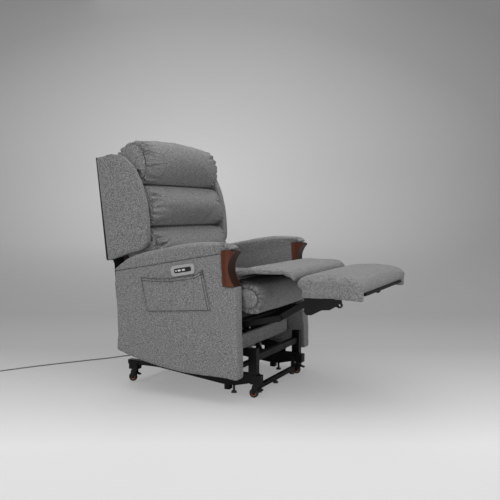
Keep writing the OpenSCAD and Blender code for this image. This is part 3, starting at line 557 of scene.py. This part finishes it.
def settle(piece, places):
    piece.data.vertices.foreach_set("co", places.ravel())
    piece.data.update()


def pick(*pieces):
    """Selects these pieces alone, and makes the last one active."""
    bpy.ops.object.select_all(action="DESELECT")
    for piece in pieces:
        piece.select_set(True)
        bpy.context.view_layer.objects.active = piece


def apply(piece, kind, **settings):
    """Adds one modifier, and applies it at once."""
    pick(piece)
    change = piece.modifiers.new("change", kind)
    for key, value in settings.items():
        setattr(change, key, value)
    bpy.ops.object.modifier_apply(modifier="change")


def copied(name, *forms):
    """One closed mesh with the shapes of the named forms."""
    parts = [bpy.data.objects.new(name, nodes[form].data.copy()) for form in forms]
    for part in parts:
        bpy.context.collection.objects.link(part)
    pick(*parts)
    if len(parts) > 1:
        bpy.ops.object.join()
    bpy.ops.object.mode_set(mode="EDIT")
    bpy.ops.mesh.select_all(action="SELECT")
    bpy.ops.mesh.remove_doubles(threshold=0.00002)
    bpy.ops.object.mode_set(mode="OBJECT")
    piece = bpy.context.object
    piece.name = name
    return piece


def cover(name, forms, voxel, ease, inset=0.0):
    """A closed cover over the forms, meshed evenly and eased at its edges."""
    piece = copied(name, *forms)
    apply(piece, "DISPLACE", mid_level=0, strength=0.0006)
    apply(piece, "REMESH", mode="VOXEL", voxel_size=voxel)
    apply(piece, "SMOOTH", factor=0.5, iterations=ease)
    if inset:
        apply(piece, "DISPLACE", mid_level=0, strength=-inset)
    return piece


def swell(piece, pressure, cap, where=1.0):
    """Fills the cover: pressure swells it, its cloth wrinkles, and no point goes too far."""
    before = corners(piece)
    fill = piece.modifiers.new("fill", "CLOTH")
    fill.settings.use_pressure = True
    fill.settings.uniform_pressure_force = pressure
    fill.settings.effector_weights.gravity = 0
    fill.settings.quality = 4
    fill.point_cache.frame_end = FILL_STEPS
    for step in range(1, FILL_STEPS + 1):
        bpy.context.scene.frame_set(step)
    worn = piece.evaluated_get(bpy.context.evaluated_depsgraph_get())
    flat = np.empty(3 * len(piece.data.vertices))
    worn.data.vertices.foreach_get("co", flat)
    move = flat.reshape(-1, 3) - before
    far = np.linalg.norm(move, axis=1)
    piece.modifiers.remove(fill)
    bpy.context.scene.frame_set(1)
    settle(piece, before + move * (where * np.minimum(1, cap / np.maximum(far, 1e-9)))[:, None])


def fine(piece, uneven=0.0015):
    """One subdivision, a slow unevenness as loosely filled cloth has, and smooth shading."""
    apply(piece, "SUBSURF", levels=1, render_levels=1)
    slack = bpy.data.textures.new(piece.name + "_slack", "CLOUDS")
    slack.noise_scale = 0.07
    apply(piece, "DISPLACE", texture=slack, mid_level=0.5, strength=2 * uneven)
    bpy.ops.object.shade_smooth()


def keep_inside(piece, low, high):
    """Presses the piece flat where it would pass through what it lies against."""
    settle(piece, np.clip(corners(piece), low, high))


def sew(piece, away, deep, wide, where=1.0):
    """Draws a seam in: away is each point's distance from it."""
    pull = deep * np.exp(-((away / wide) ** 2)) * where
    settle(piece, corners(piece) - outward(piece) * pull[:, None])


def gather(piece, away, along, deep, reach, pitch, seed, where=1.0, crease=0.0034):
    """Short creases that run out from a seam, on the side where away is positive."""
    chance = random.Random(seed)
    pull = np.zeros(len(away))
    at = float(along.min())
    while at < float(along.max()):
        at += pitch * chance.uniform(0.5, 1.6)
        length = reach * chance.uniform(0.4, 1.25)
        width = crease * chance.uniform(0.8, 1.4)
        slant = chance.uniform(-0.3, 0.3)
        depth = deep * chance.uniform(0.4, 1.1)
        off = (along - at - slant * away) / width
        fade = np.where(away > 0, np.exp(-((away / length) ** 2)), np.exp(-((away / 0.004) ** 2)))
        shape = np.exp(-(off**2)) - 0.35 * np.exp(-((np.abs(off) - 2.2) ** 2))
        pull += depth * fade * shape
    pull = np.clip(pull, -0.6 * deep, 1.3 * deep) * where
    settle(piece, corners(piece) - outward(piece) * pull[:, None])


def crease(piece, line, deep, wide):
    """A soft fold along a line of points, which fades out at both its ends."""
    places = corners(piece)
    pull = np.zeros(len(places))
    line = [np.array(p) for p in line]
    total = sum(np.linalg.norm(b - a) for a, b in zip(line, line[1:]))
    passed = 0.0
    for a, b in zip(line, line[1:]):
        step = b - a
        t = np.clip((places - a) @ step / (step @ step), 0, 1)
        away = np.linalg.norm(places - a - t[:, None] * step, axis=1)
        share = (passed + t * np.linalg.norm(step)) / total
        fade = np.clip(4 * share * (1 - share), 0, 1) ** 0.6
        pull = np.maximum(pull, deep * fade * np.exp(-((away / wide) ** 2)))
        passed += np.linalg.norm(step)
    settle(piece, places - outward(piece) * pull[:, None])


def around(across, up):
    """Each point's place along its ring, from its two distances to the ring's middle."""
    return np.arctan2(up, across) * np.hypot(across, up).mean()


def mirrored(piece, name):
    """The other hand of a piece, with a mesh of its own."""
    other = bpy.data.objects.new(name, piece.data.copy())
    bpy.context.collection.objects.link(other)
    settle(other, corners(other) * (-1, 1, 1))
    other.data.flip_normals()
    return other


def upholster(piece, body, fill, *forms, weave=grey_weave):
    """The weave, the body it rides on, and the forms it stands for; fill, how full it is, is not
    used.
    """
    weave.put_on(piece)
    if body:
        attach(piece, body)
    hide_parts(*forms)


def from_roll_seam(finish):
    """The distance out from the end panel's seam, and the place along it."""
    x, y, z = finish.axes()
    across = (y - ROLL_CENTRE[0]) * (1 / ROLL_HALF[0])
    up = (z - ROLL_CENTRE[1]) * (1 / ROLL_HALF[1])
    out = (across * across + up * up) ** 0.5
    turn = finish.maths("ARCTAN2", up, across)
    return (out - END_PANEL) * ROLL_ROUND + (ROLL_END - abs(x)), turn * ROLL_ROUND


def roll_seam(finish):
    x, y, z = finish.axes()
    seam = line_at(finish, from_roll_seam(finish)[0], 0.0026)
    # Painted shadow of the footrest bridge: the roll's top under it darkened to near black.
    lining_and_painted_shade = finish.between(z, *BRIDGE_SHADOW_FROM) * finish.maths("LESS_THAN", y, BRIDGE_SHADOW_BEFORE)
    return finish.maths("MINIMUM", seam + lining_and_painted_shade, 1.0)


def roll_folds(finish):
    # Painted shade in the gathers by the end panel's seam.
    return pleats(finish, *from_roll_seam(finish), reach=0.075, pitch=0.006)


seat = cover("seat_cushion_cover", ["seat_cushion"], voxel=0.008, ease=4, inset=0.005)
swell(seat, pressure=4, cap=0.014)
fine(seat)
for side in (-1, 1):
    at = corners(seat)
    across = (at[:, 1] - ROLL_CENTRE[0]) / ROLL_HALF[0]
    up = (at[:, 2] - ROLL_CENTRE[1]) / ROLL_HALF[1]
    inward = (np.hypot(across, up) - END_PANEL) * ROLL_ROUND + ROLL_END - side * at[:, 0]
    ring_at = np.arctan2(up, across) * ROLL_ROUND
    front = 1 / (1 + np.exp((at[:, 1] + 0.06) / 0.01))
    sew(seat, inward, deep=0.006, wide=0.0050, where=front)
    gather(
        seat,
        inward,
        ring_at,
        deep=0.0075,
        reach=0.060,
        pitch=0.020,
        seed=11 + side,
        where=front,
        crease=0.0050,
    )
keep_inside(seat, (-SEAT_HALF - 0.003, -0.215, 0.372), (SEAT_HALF + 0.003, 0.402, SEAT_TOP))
upholster(seat, "carriage", 0.75, "seat_cushion", weave=cloth("seat_weave", roll_seam, roll_folds))

BRIDGE_TOP = [  # top of the sheet along it, and how much of its depth is padded
    (-0.326, 0.540, 1.0),
    (-0.318, 0.552, 1.0),
    (-0.300, 0.560, 0.62),
    (-0.270, 0.563, 0.36),
    (-0.120, 0.562, 0.34),
    (-0.070, 0.551, 0.45),
    (-0.036, 0.533, 0.80),
    (-0.024, 0.519, 1.0),
]

bridge = cover("chaise_cover", ["chaise_pad", "chaise_flap"], voxel=0.006, ease=2)
at = corners(bridge)
top, padded = [np.interp(at[:, 1], *zip(*[(p[0], p[k]) for p in BRIDGE_TOP])) for k in (1, 2)]
at[:, 2] = top - (top - at[:, 2]) * padded
settle(bridge, at)
swell(bridge, pressure=3, cap=0.004)
fine(bridge, 0.0012)
at = corners(bridge)
edge = 0.322 - np.abs(at[:, 0])
gather(bridge, edge, at[:, 1], deep=0.0016, reach=0.05, pitch=0.045, seed=5, crease=0.006)
keep_inside(bridge, (-0.327, -0.334, 0.5062), (0.327, -0.020, 0.572))
upholster(bridge, None, 0.5, "chaise_pad", "chaise_flap")
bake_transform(bridge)

# ---- Footrest ----
# A board with a foam top in the same weave. Its side flaps wrap down over
# the board's ends, and a seam runs along the edge of the top panel.
foot_top = cover("ottoman_cover", ["ottoman_pad"], voxel=0.0055, ease=3)
swell(foot_top, pressure=3, cap=0.006)
fine(foot_top, 0.0008)
at = corners(foot_top)
edge = 0.330 - np.abs(at[:, 0])
gather(foot_top, edge, at[:, 1], deep=0.0009, reach=0.04, pitch=0.05, seed=9, crease=0.006)
keep_inside(foot_top, (-0.332, -0.628, 0.444), (0.332, -0.328, 0.552))
upholster(foot_top, "ottoman", 0.6, "ottoman_pad")

# ---- Arms ----
# Deep arms with flat covered sides. The soft top is sewn to the side along a
# seam that slopes down to the back, and is gathered at its front end.
ARM_MIDDLE = 0.368
ARM_HALF = 0.032
SEAM_AT = (0.237, 0.578)
SEAM_SLOPE = 0.172


def seam_height(y):
    return SEAM_AT[1] - (y - SEAM_AT[0]) * SEAM_SLOPE


def arm_seam(finish):
    x, y, z = finish.axes()
    outer = finish.maths("GREATER_THAN", abs(x), 0.385)
    behind = finish.maths("GREATER_THAN", y, -0.040)
    above = z + SEAM_SLOPE * y - (SEAM_AT[1] + SEAM_SLOPE * SEAM_AT[0])
    # Painted shade: a near black line along the seam on the outer side.
    return line_at(finish, above, 0.0022) * outer * behind


def arm_folds(finish):
    x, y, z = finish.axes()
    turn = finish.maths("ARCTAN2", z - 0.62, abs(x) - ARM_MIDDLE)
    above = finish.maths("GREATER_THAN", z + SEAM_SLOPE * y, 0.645)
    # Painted shade in the gathers at the front of the top.
    return pleats(finish, y + 0.072, turn * 0.04, reach=0.075, pitch=0.006) * above


arm_weave = cloth("arm_weave", arm_seam, arm_folds)
arm = cover("arm_cover_right", ["arm_panel_right", "arm_pad_right"], voxel=0.0065, ease=4)
soft = 1 / (1 + np.exp((seam_height(corners(arm)[:, 1]) + 0.02 - corners(arm)[:, 2]) / 0.006))
swell(arm, pressure=3, cap=0.006, where=soft)
fine(arm, 0.0010)
at = corners(arm)
above = at[:, 2] - seam_height(at[:, 1])
half = ARM_HALF + 0.0005 + 0.0045 * np.clip(above / 0.035, 0, 1)
off = at[:, 0] + ARM_MIDDLE
at[:, 0] = np.clip(off, -half, half) - ARM_MIDDLE
settle(arm, at)
outer = ((at[:, 1] > -0.036) & (off < 0.02)).astype(float)
sew(arm, above, deep=0.0030, wide=0.0036, where=outer)
front_seam = at[:, 1] + 0.070
over_top = around(off, at[:, 2] - 0.640)
gather(
    arm,
    front_seam,
    over_top,
    deep=0.0062,
    reach=0.050,
    pitch=0.018,
    seed=21,
    where=(above > 0.01).astype(float),
    crease=0.0046,
)
keep_inside(arm, (-0.406, -0.110, 0.100), (-0.330, 0.512, 0.680))
upholster(arm, "carriage", 0.85, "arm_panel_right", "arm_pad_right", weave=arm_weave)
upholster(
    mirrored(arm, "arm_cover_left"),
    "carriage",
    0.85,
    "arm_panel_left",
    "arm_pad_left",
    weave=arm_weave,
)

# ---- Arm knuckles ----
# Turned and carved hardwood, stained red-brown and lacquered to a gloss, screwed to the front of
# each arm. Its carved front, away from the side faces, is painted near black as painted shade, and
# pale painted highlights run along the arrises.
KNUCKLE_MIDDLE = 0.368
PAINTED_FRONT_SHADE = (0.012, 0.004, 0.002, 1)
PAINTED_ARRIS_HIGHLIGHT = (0.30, 0.14, 0.08, 1)

lacquer = Finish(
    "stained_wood", **{"Specular IOR Level": 0.20, "Coat Weight": 0.05, "Coat Roughness": 0.12}
)
figure = lacquer.noise(26, 5, (1, 1, 0.12))
pores = lacquer.noise(420, 2, (1, 1, 0.04))
planed = lacquer.ramp(
    figure + 0.25 * pores,
    (0.40, (0.055, 0.016, 0.008)),
    (0.62, (0.100, 0.030, 0.016)),
    (0.85, (0.150, 0.048, 0.027)),
)
from_middle = abs(abs(lacquer.axes()[0]) - KNUCKLE_MIDDLE)
face = lacquer.between(from_middle, 0.0305, 0.0325)
# Painted shade: the carved front, away from the side faces, darkened to near black.
shaded_front = lacquer.mixed(0.85 - 0.85 * face, planed, PAINTED_FRONT_SHADE)
# Painted highlight: pale lines along the arrises.
arris_highlight = line_at(lacquer, from_middle - 0.0322, 0.0012)
lacquer.feed("Base Color", lacquer.mixed(0.5 * arris_highlight, shaded_front, PAINTED_ARRIS_HIGHLIGHT))
lacquer.feed("Roughness", 0.34 + 0.12 * pores)
lacquer.bump(pores, 0.0001)
lacquer.put_on(nodes["arm_knuckle_left"], nodes["arm_knuckle_right"])

# ---- Side pocket ----
# A flat pocket of the same weave, sewn to the outside of the right arm along
# its sides and its bottom. Elastic draws its top hem in, and it hangs a
# little open under the controls.
POCKET_TOP = [(0.050, 0.555), (0.087, 0.533), (0.209, 0.512), (0.290, 0.509), (0.363, 0.511)]
POCKET_FOOT = [(0.014, 0.389), (0.327, 0.364)]
POCKET_W = 0.313
POCKET_H = 0.150
POCKET_WALL = -0.4006
POCKET_OUT = 0.0095
POCKET_CLOTH = 0.0014
HEM = 0.013

bpy.ops.object.select_all(action="DESELECT")
bpy.ops.mesh.primitive_grid_add(x_subdivisions=120, y_subdivisions=60, size=1)
pocket = bpy.context.object
pocket.name = "pocket_cloth"
at = corners(pocket) + (0.5, 0.5, 0)
along, up = at[:, 0], at[:, 1]
top_y = POCKET_TOP[0][0] + along * (POCKET_TOP[-1][0] - POCKET_TOP[0][0])
top_z = np.interp(top_y, *zip(*POCKET_TOP))
foot_y = POCKET_FOOT[0][0] + along * (POCKET_FOOT[1][0] - POCKET_FOOT[0][0])
foot_z = np.interp(foot_y, *zip(*POCKET_FOOT))
tall = top_z - foot_z
below_top = (1 - up) * tall
above_foot = up * tall
from_side = np.minimum(along, 1 - along) * POCKET_W
bow = np.clip(np.sin(np.pi * along), 0, 1) ** 0.6
slack = bow * (0.25 + 0.75 * up**1.6) * (1 - np.exp(-above_foot / 0.012))
out = 0.0030 + (POCKET_OUT - 0.0030) * slack
chance = random.Random(31)
for _ in range(30):
    middle = chance.random() ** 0.8
    out -= (
        chance.uniform(0.0012, 0.0045)
        * np.exp(-(((along - middle) * POCKET_W / 0.0030) ** 2))
        * np.exp(-((below_top / chance.uniform(0.014, 0.034)) ** 2))
    )
out -= 0.0022 * np.exp(-(((below_top - HEM) / 0.0018) ** 2))
for line in (0.004, 0.010):
    out -= 0.0018 * np.exp(-(((from_side - line) / 0.0016) ** 2))
out -= 0.0018 * np.exp(-(((above_foot - 0.006) / 0.0016) ** 2))
settle(
    pocket,
    np.column_stack(
        [
            POCKET_WALL - np.clip(out, 0.0004, POCKET_OUT),
            foot_y + (top_y - foot_y) * up,
            foot_z + tall * up,
        ]
    ),
)
apply(pocket, "SOLIDIFY", thickness=POCKET_CLOTH, offset=1)
bpy.ops.object.mode_set(mode="EDIT")
bpy.ops.mesh.select_all(action="SELECT")
bpy.ops.mesh.normals_make_consistent(inside=False)
bpy.ops.object.mode_set(mode="OBJECT")
bpy.ops.object.shade_smooth()


def pocket_seams(finish):
    u, v = finish.axes("UV")[:2]
    # Painted shade: near black lines in the seam grooves and at the hem, and a painted shadow of
    # the opening along the top edge.
    lines = [
        line_at(finish, (1 - v) * POCKET_H, 0.0036),
        line_at(finish, (1 - v) * POCKET_H - HEM, 0.0018),
        line_at(finish, v * POCKET_H - 0.002, 0.0020),
        line_at(finish, u * POCKET_W - 0.002, 0.0018),
        line_at(finish, (1 - u) * POCKET_W - 0.003, 0.0016),
        line_at(finish, u * POCKET_W - 0.012, 0.0014),
    ]
    return finish.maths("MINIMUM", sum(lines[1:], lines[0]), 1.0)


def pocket_folds(finish):
    u, v = finish.axes("UV")[:2]
    # Painted shade in the gathers under the hem.
    below_hem = (1 - v) * POCKET_H - 0.004
    return pleats(finish, below_hem, u * POCKET_W, reach=0.034, pitch=0.006)


cloth("pocket_weave", pocket_seams, pocket_folds).put_on(pocket)
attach(pocket, "carriage")
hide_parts("side_pocket")

# ---- Controls ----
# A silver bezel round a black insert, with one round button, two rocker keys
# and a charging socket.
silver = Finish("silver_plastic", Metallic=0.35)
fleck = silver.noise(900, 2)
silver.feed("Base Color", silver.ramp(fleck, (0.3, grey(0.40)), (0.7, grey(0.50))))
silver.feed("Roughness", 0.32 + 0.12 * fleck)
silver.put_on(nodes["control_bezel"])
insert = Finish("control_plastic")
haze = insert.noise(60)
insert.feed("Base Color", insert.ramp(haze, (0.3, grey(0.005)), (0.7, grey(0.010))))
insert.feed("Roughness", 0.30 + 0.12 * haze)
insert.put_on(nodes["control_face"])
white_key = Finish("key_plastic")
dust = white_key.noise(300)
white_key.feed("Base Color", white_key.ramp(dust, (0.3, grey(0.66)), (0.7, grey(0.76))))
white_key.feed("Roughness", 0.35 + 0.15 * dust)
white_key.put_on(nodes["home_button"], nodes["back_rocker"], nodes["leg_rocker"])

# ---- Front rail ----
# A timber rail across the front of the chassis, wrapped in the same weave
# over a thin layer of wadding.
rail = cover("front_rail_cover", ["front_rail"], voxel=0.005, ease=2)
fine(rail, 0.0006)
upholster(rail, "carriage", 1.0, "front_rail")

# ---- Pillows of the back ----
# Three separate pillows, filled with fibre. Each end is a panel of its own,
# and the long panel is gathered all along the seam that joins them.
PILLOW_SEAM = 0.315
PILLOW_HALF = 0.333
# Heights and width of the painted shade lines where the pillows meet, and the span of painted
# shade beside the wings.
PILLOW_GAP_SHADE_AT = (0.3170, 0.5074)
PILLOW_GAP_SHADE_W = 0.007
WING_GAP_SHADE_SPAN = (0.250, 0.575)
WING_WAIST = 0.375
WING_FORWARD = 0.146
WING_BENDS = (0.697, 6.98)
BACK_FOOT = (0.451, 0.400)
LEAN = math.radians(7.4)
PILLOWS = [  # name, fill, seed of its gathers, long folds from (x, share of height) to another
    ("head_pillow", 0.7, 41, []),
    ("middle_pillow", 0.65, 43, [(-0.30, 0.52, -0.12, 0.46), (-0.27, 0.20, -0.05, 0.14)]),
    ("lumbar_pillow", 0.7, 47, [(-0.29, 0.80, -0.16, 0.86)]),
]


def behind_foot(y, z):
    """How far rearward of the back's pivot, square to the leaning back."""
    return (y - BACK_FOOT[0]) * math.cos(LEAN) - (z - BACK_FOOT[1]) * math.sin(LEAN)


def up_back(y, z):
    """How far up from the back's pivot, along the leaning back."""
    return (y - BACK_FOOT[0]) * math.sin(LEAN) + (z - BACK_FOOT[1]) * math.cos(LEAN)


def pillow_weave(name, middle):
    """The weave of one pillow: its end seams and pleats with painted shade on them, painted shade
    lines where it meets the next pillow, and painted shade in the gap beside the wings.
    """

    def seams(finish):
        x, y, z = finish.axes()
        up = up_back(y, z)
        front = finish.between(y, middle.y + 0.02, middle.y)
        end = line_at(finish, abs(x) - PILLOW_SEAM, 0.0020)
        # Painted shade where one pillow meets the next.
        lower, upper = [line_at(finish, up - at, PILLOW_GAP_SHADE_W) for at in PILLOW_GAP_SHADE_AT]
        off_waist = (up - WING_WAIST) * (up - WING_WAIST)
        bend = WING_BENDS[0] * off_waist + WING_BENDS[1] * (off_waist * off_waist)
        wing_front = bend - WING_FORWARD
        # Painted shade in the gap beside the wings.
        wing_gap_shade = finish.between(abs(x), 0.317, 0.326)
        wing_gap_shade *= finish.maths("GREATER_THAN", behind_foot(y, z) - wing_front, 0.0)
        wing_gap_shade *= finish.maths("GREATER_THAN", up, WING_GAP_SHADE_SPAN[0])
        wing_gap_shade *= finish.maths("LESS_THAN", up, WING_GAP_SHADE_SPAN[1])
        return finish.maths("MINIMUM", end + (lower + upper) * front + wing_gap_shade, 1.0)

    def folds(finish):
        x, y, z = finish.axes()
        # Painted shade in the pleats by the end seams.
        turn = finish.maths("ARCTAN2", z - middle.z, y - middle.y)
        return pleats(finish, PILLOW_SEAM - abs(x), turn * 0.12, reach=0.075, pitch=0.012)

    return cloth(name + "_weave", seams, folds)


for name, fill, seed, folds in PILLOWS:
    pillow = cover(name + "_cover", [name], voxel=0.008, ease=5, inset=0.006)
    swell(pillow, pressure=4, cap=0.020)
    fine(pillow)
    low, high = [Vector(p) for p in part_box(name)]
    middle = (low + high) / 2
    for side in (-1, 1):
        at = corners(pillow)
        inward = PILLOW_SEAM - side * at[:, 0]
        ring_at = around(at[:, 1] - middle.y, at[:, 2] - middle.z)
        sew(pillow, inward, deep=0.0055, wide=0.0050)
        gather(
            pillow,
            inward,
            ring_at,
            deep=0.0065 - 0.0015 * side,
            reach=0.075,
            pitch=0.027,
            seed=seed + side,
            crease=0.0060,
        )
        gather(
            pillow,
            -inward,
            ring_at,
            deep=0.0020 - 0.0010 * side,
            reach=0.012,
            pitch=0.024,
            seed=seed + 2 * side,
        )
    for x0, up0, x1, up1 in folds:
        face_y = low.y + 0.02
        tall = high.z - low.z
        crease(
            pillow,
            [(x0, face_y, low.z + up0 * tall), (x1, face_y, low.z + up1 * tall)],
            deep=0.005,
            wide=0.012,
        )
    at = corners(pillow)
    at[:, 0] = np.clip(at[:, 0], -PILLOW_HALF, PILLOW_HALF)
    settle(pillow, at)
    upholster(pillow, "back", fill, name, weave=pillow_weave(name, middle))

# ---- Wings ----
# A padded board on each side of the back, closed by a piped edge.
WING_MIDDLE = 0.350
WING_HALF = 0.0175
WING_EDGE = [  # the board's outline in the back's own frame: rearward, up
    (0.080, 0.632),
    (0.066, 0.647),
    (0.030, 0.659),
    (-0.010, 0.655),
    (-0.052, 0.636),
    (-0.095, 0.588),
    (-0.126, 0.510),
    (-0.141, 0.418),
    (-0.141, 0.335),
    (-0.131, 0.246),
    (-0.106, 0.219),
    (-0.064, 0.212),
    (-0.020, 0.208),
    (0.040, 0.197),
    (0.084, 0.191),
]
WING_CENTRE = (-0.020, 0.420)
PIPING_IN = 0.0030
PIPING_R = 0.0021

wing = cover("wing_cover_right", ["wing_right"], voxel=0.005, ease=3)
at = corners(wing)
rearward = behind_foot(at[:, 1], at[:, 2])
up = up_back(at[:, 1], at[:, 2])
rear = np.clip((rearward - 0.066) / 0.012, 0, 1)
off = at[:, 0] + WING_MIDDLE
square = np.where(np.abs(off) > 0.007, np.sign(off) * WING_HALF, off)
at[:, 0] += rear * (square - off)
corner = np.clip((rearward - 0.040) / 0.03, 0, 1) * np.clip((up - 0.600) / 0.03, 0, 1)
rearward = rearward + 0.013 * corner
rearward = np.where(rearward > 0.078, 0.088, rearward)
up = up + 0.010 * corner
at[:, 1] = BACK_FOOT[0] + rearward * math.cos(LEAN) + up * math.sin(LEAN)
at[:, 2] = BACK_FOOT[1] - rearward * math.sin(LEAN) + up * math.cos(LEAN)
settle(wing, at)
fine(wing, 0.0008)
upholster(wing, "back", 0.85, "wing_right")
upholster(mirrored(wing, "wing_cover_left"), "back", 0.85, "wing_left")

piping_line = []
for back, up in WING_EDGE:
    inset = PIPING_IN / math.hypot(back - WING_CENTRE[0], up - WING_CENTRE[1])
    back += inset * (WING_CENTRE[0] - back)
    up += inset * (WING_CENTRE[1] - up)
    piping_line.append(
        Vector(
            (
                -WING_MIDDLE - WING_HALF + 0.0022,
                BACK_FOOT[0] + back * math.cos(LEAN) + up * math.sin(LEAN),
                BACK_FOOT[1] - back * math.sin(LEAN) + up * math.cos(LEAN),
            )
        )
    )
piping_line = through(piping_line, 6)
cord = bpy.data.curves.new("wing_piping", "CURVE")
cord.dimensions = "3D"
cord.bevel_depth = PIPING_R
cord.bevel_resolution = 2
cord.use_fill_caps = True
edge = cord.splines.new("POLY")
edge.points.add(len(piping_line) - 1)
for point, at in zip(edge.points, piping_line):
    point.co = (*at, 1)
piping = bpy.data.objects.new("wing_piping_right", cord)
bpy.context.collection.objects.link(piping)
pick(piping)
bpy.ops.object.convert(target="MESH")
bpy.ops.object.shade_smooth()
for piece in (piping, mirrored(piping, "wing_piping_left")):
    grey_weave.put_on(piece)
    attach(piece, "back")

# ---- Back lining ----
# The back is closed by a board in black lining, and a skirt of the same
# cloth hangs under the seat behind the lift.
lining = Finish("black_lining", Roughness=0.95)
knit = lining.noise(500, 2)
lining.feed("Base Color", lining.ramp(knit, (0.3, grey(0.006)), (0.7, grey(0.014))))
lining.bump(knit, 0.0004)
for name, node, body in (
    ("back_lining", "back_cover", "back"),
    ("skirt_lining", "rear_skirt", "carriage"),
):
    lining_and_painted_shade = copied(name, node)
    bpy.ops.object.mode_set(mode="EDIT")
    bpy.ops.mesh.dissolve_limited(angle_limit=math.radians(0.5))
    bpy.ops.object.mode_set(mode="OBJECT")
    apply(lining_and_painted_shade, "BEVEL", width=0.0009, segments=2, limit_method="ANGLE")
    bpy.ops.object.shade_smooth_by_angle(angle=math.radians(40))
    lining.put_on(lining_and_painted_shade)
    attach(lining_and_painted_shade, body)
    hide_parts(node)
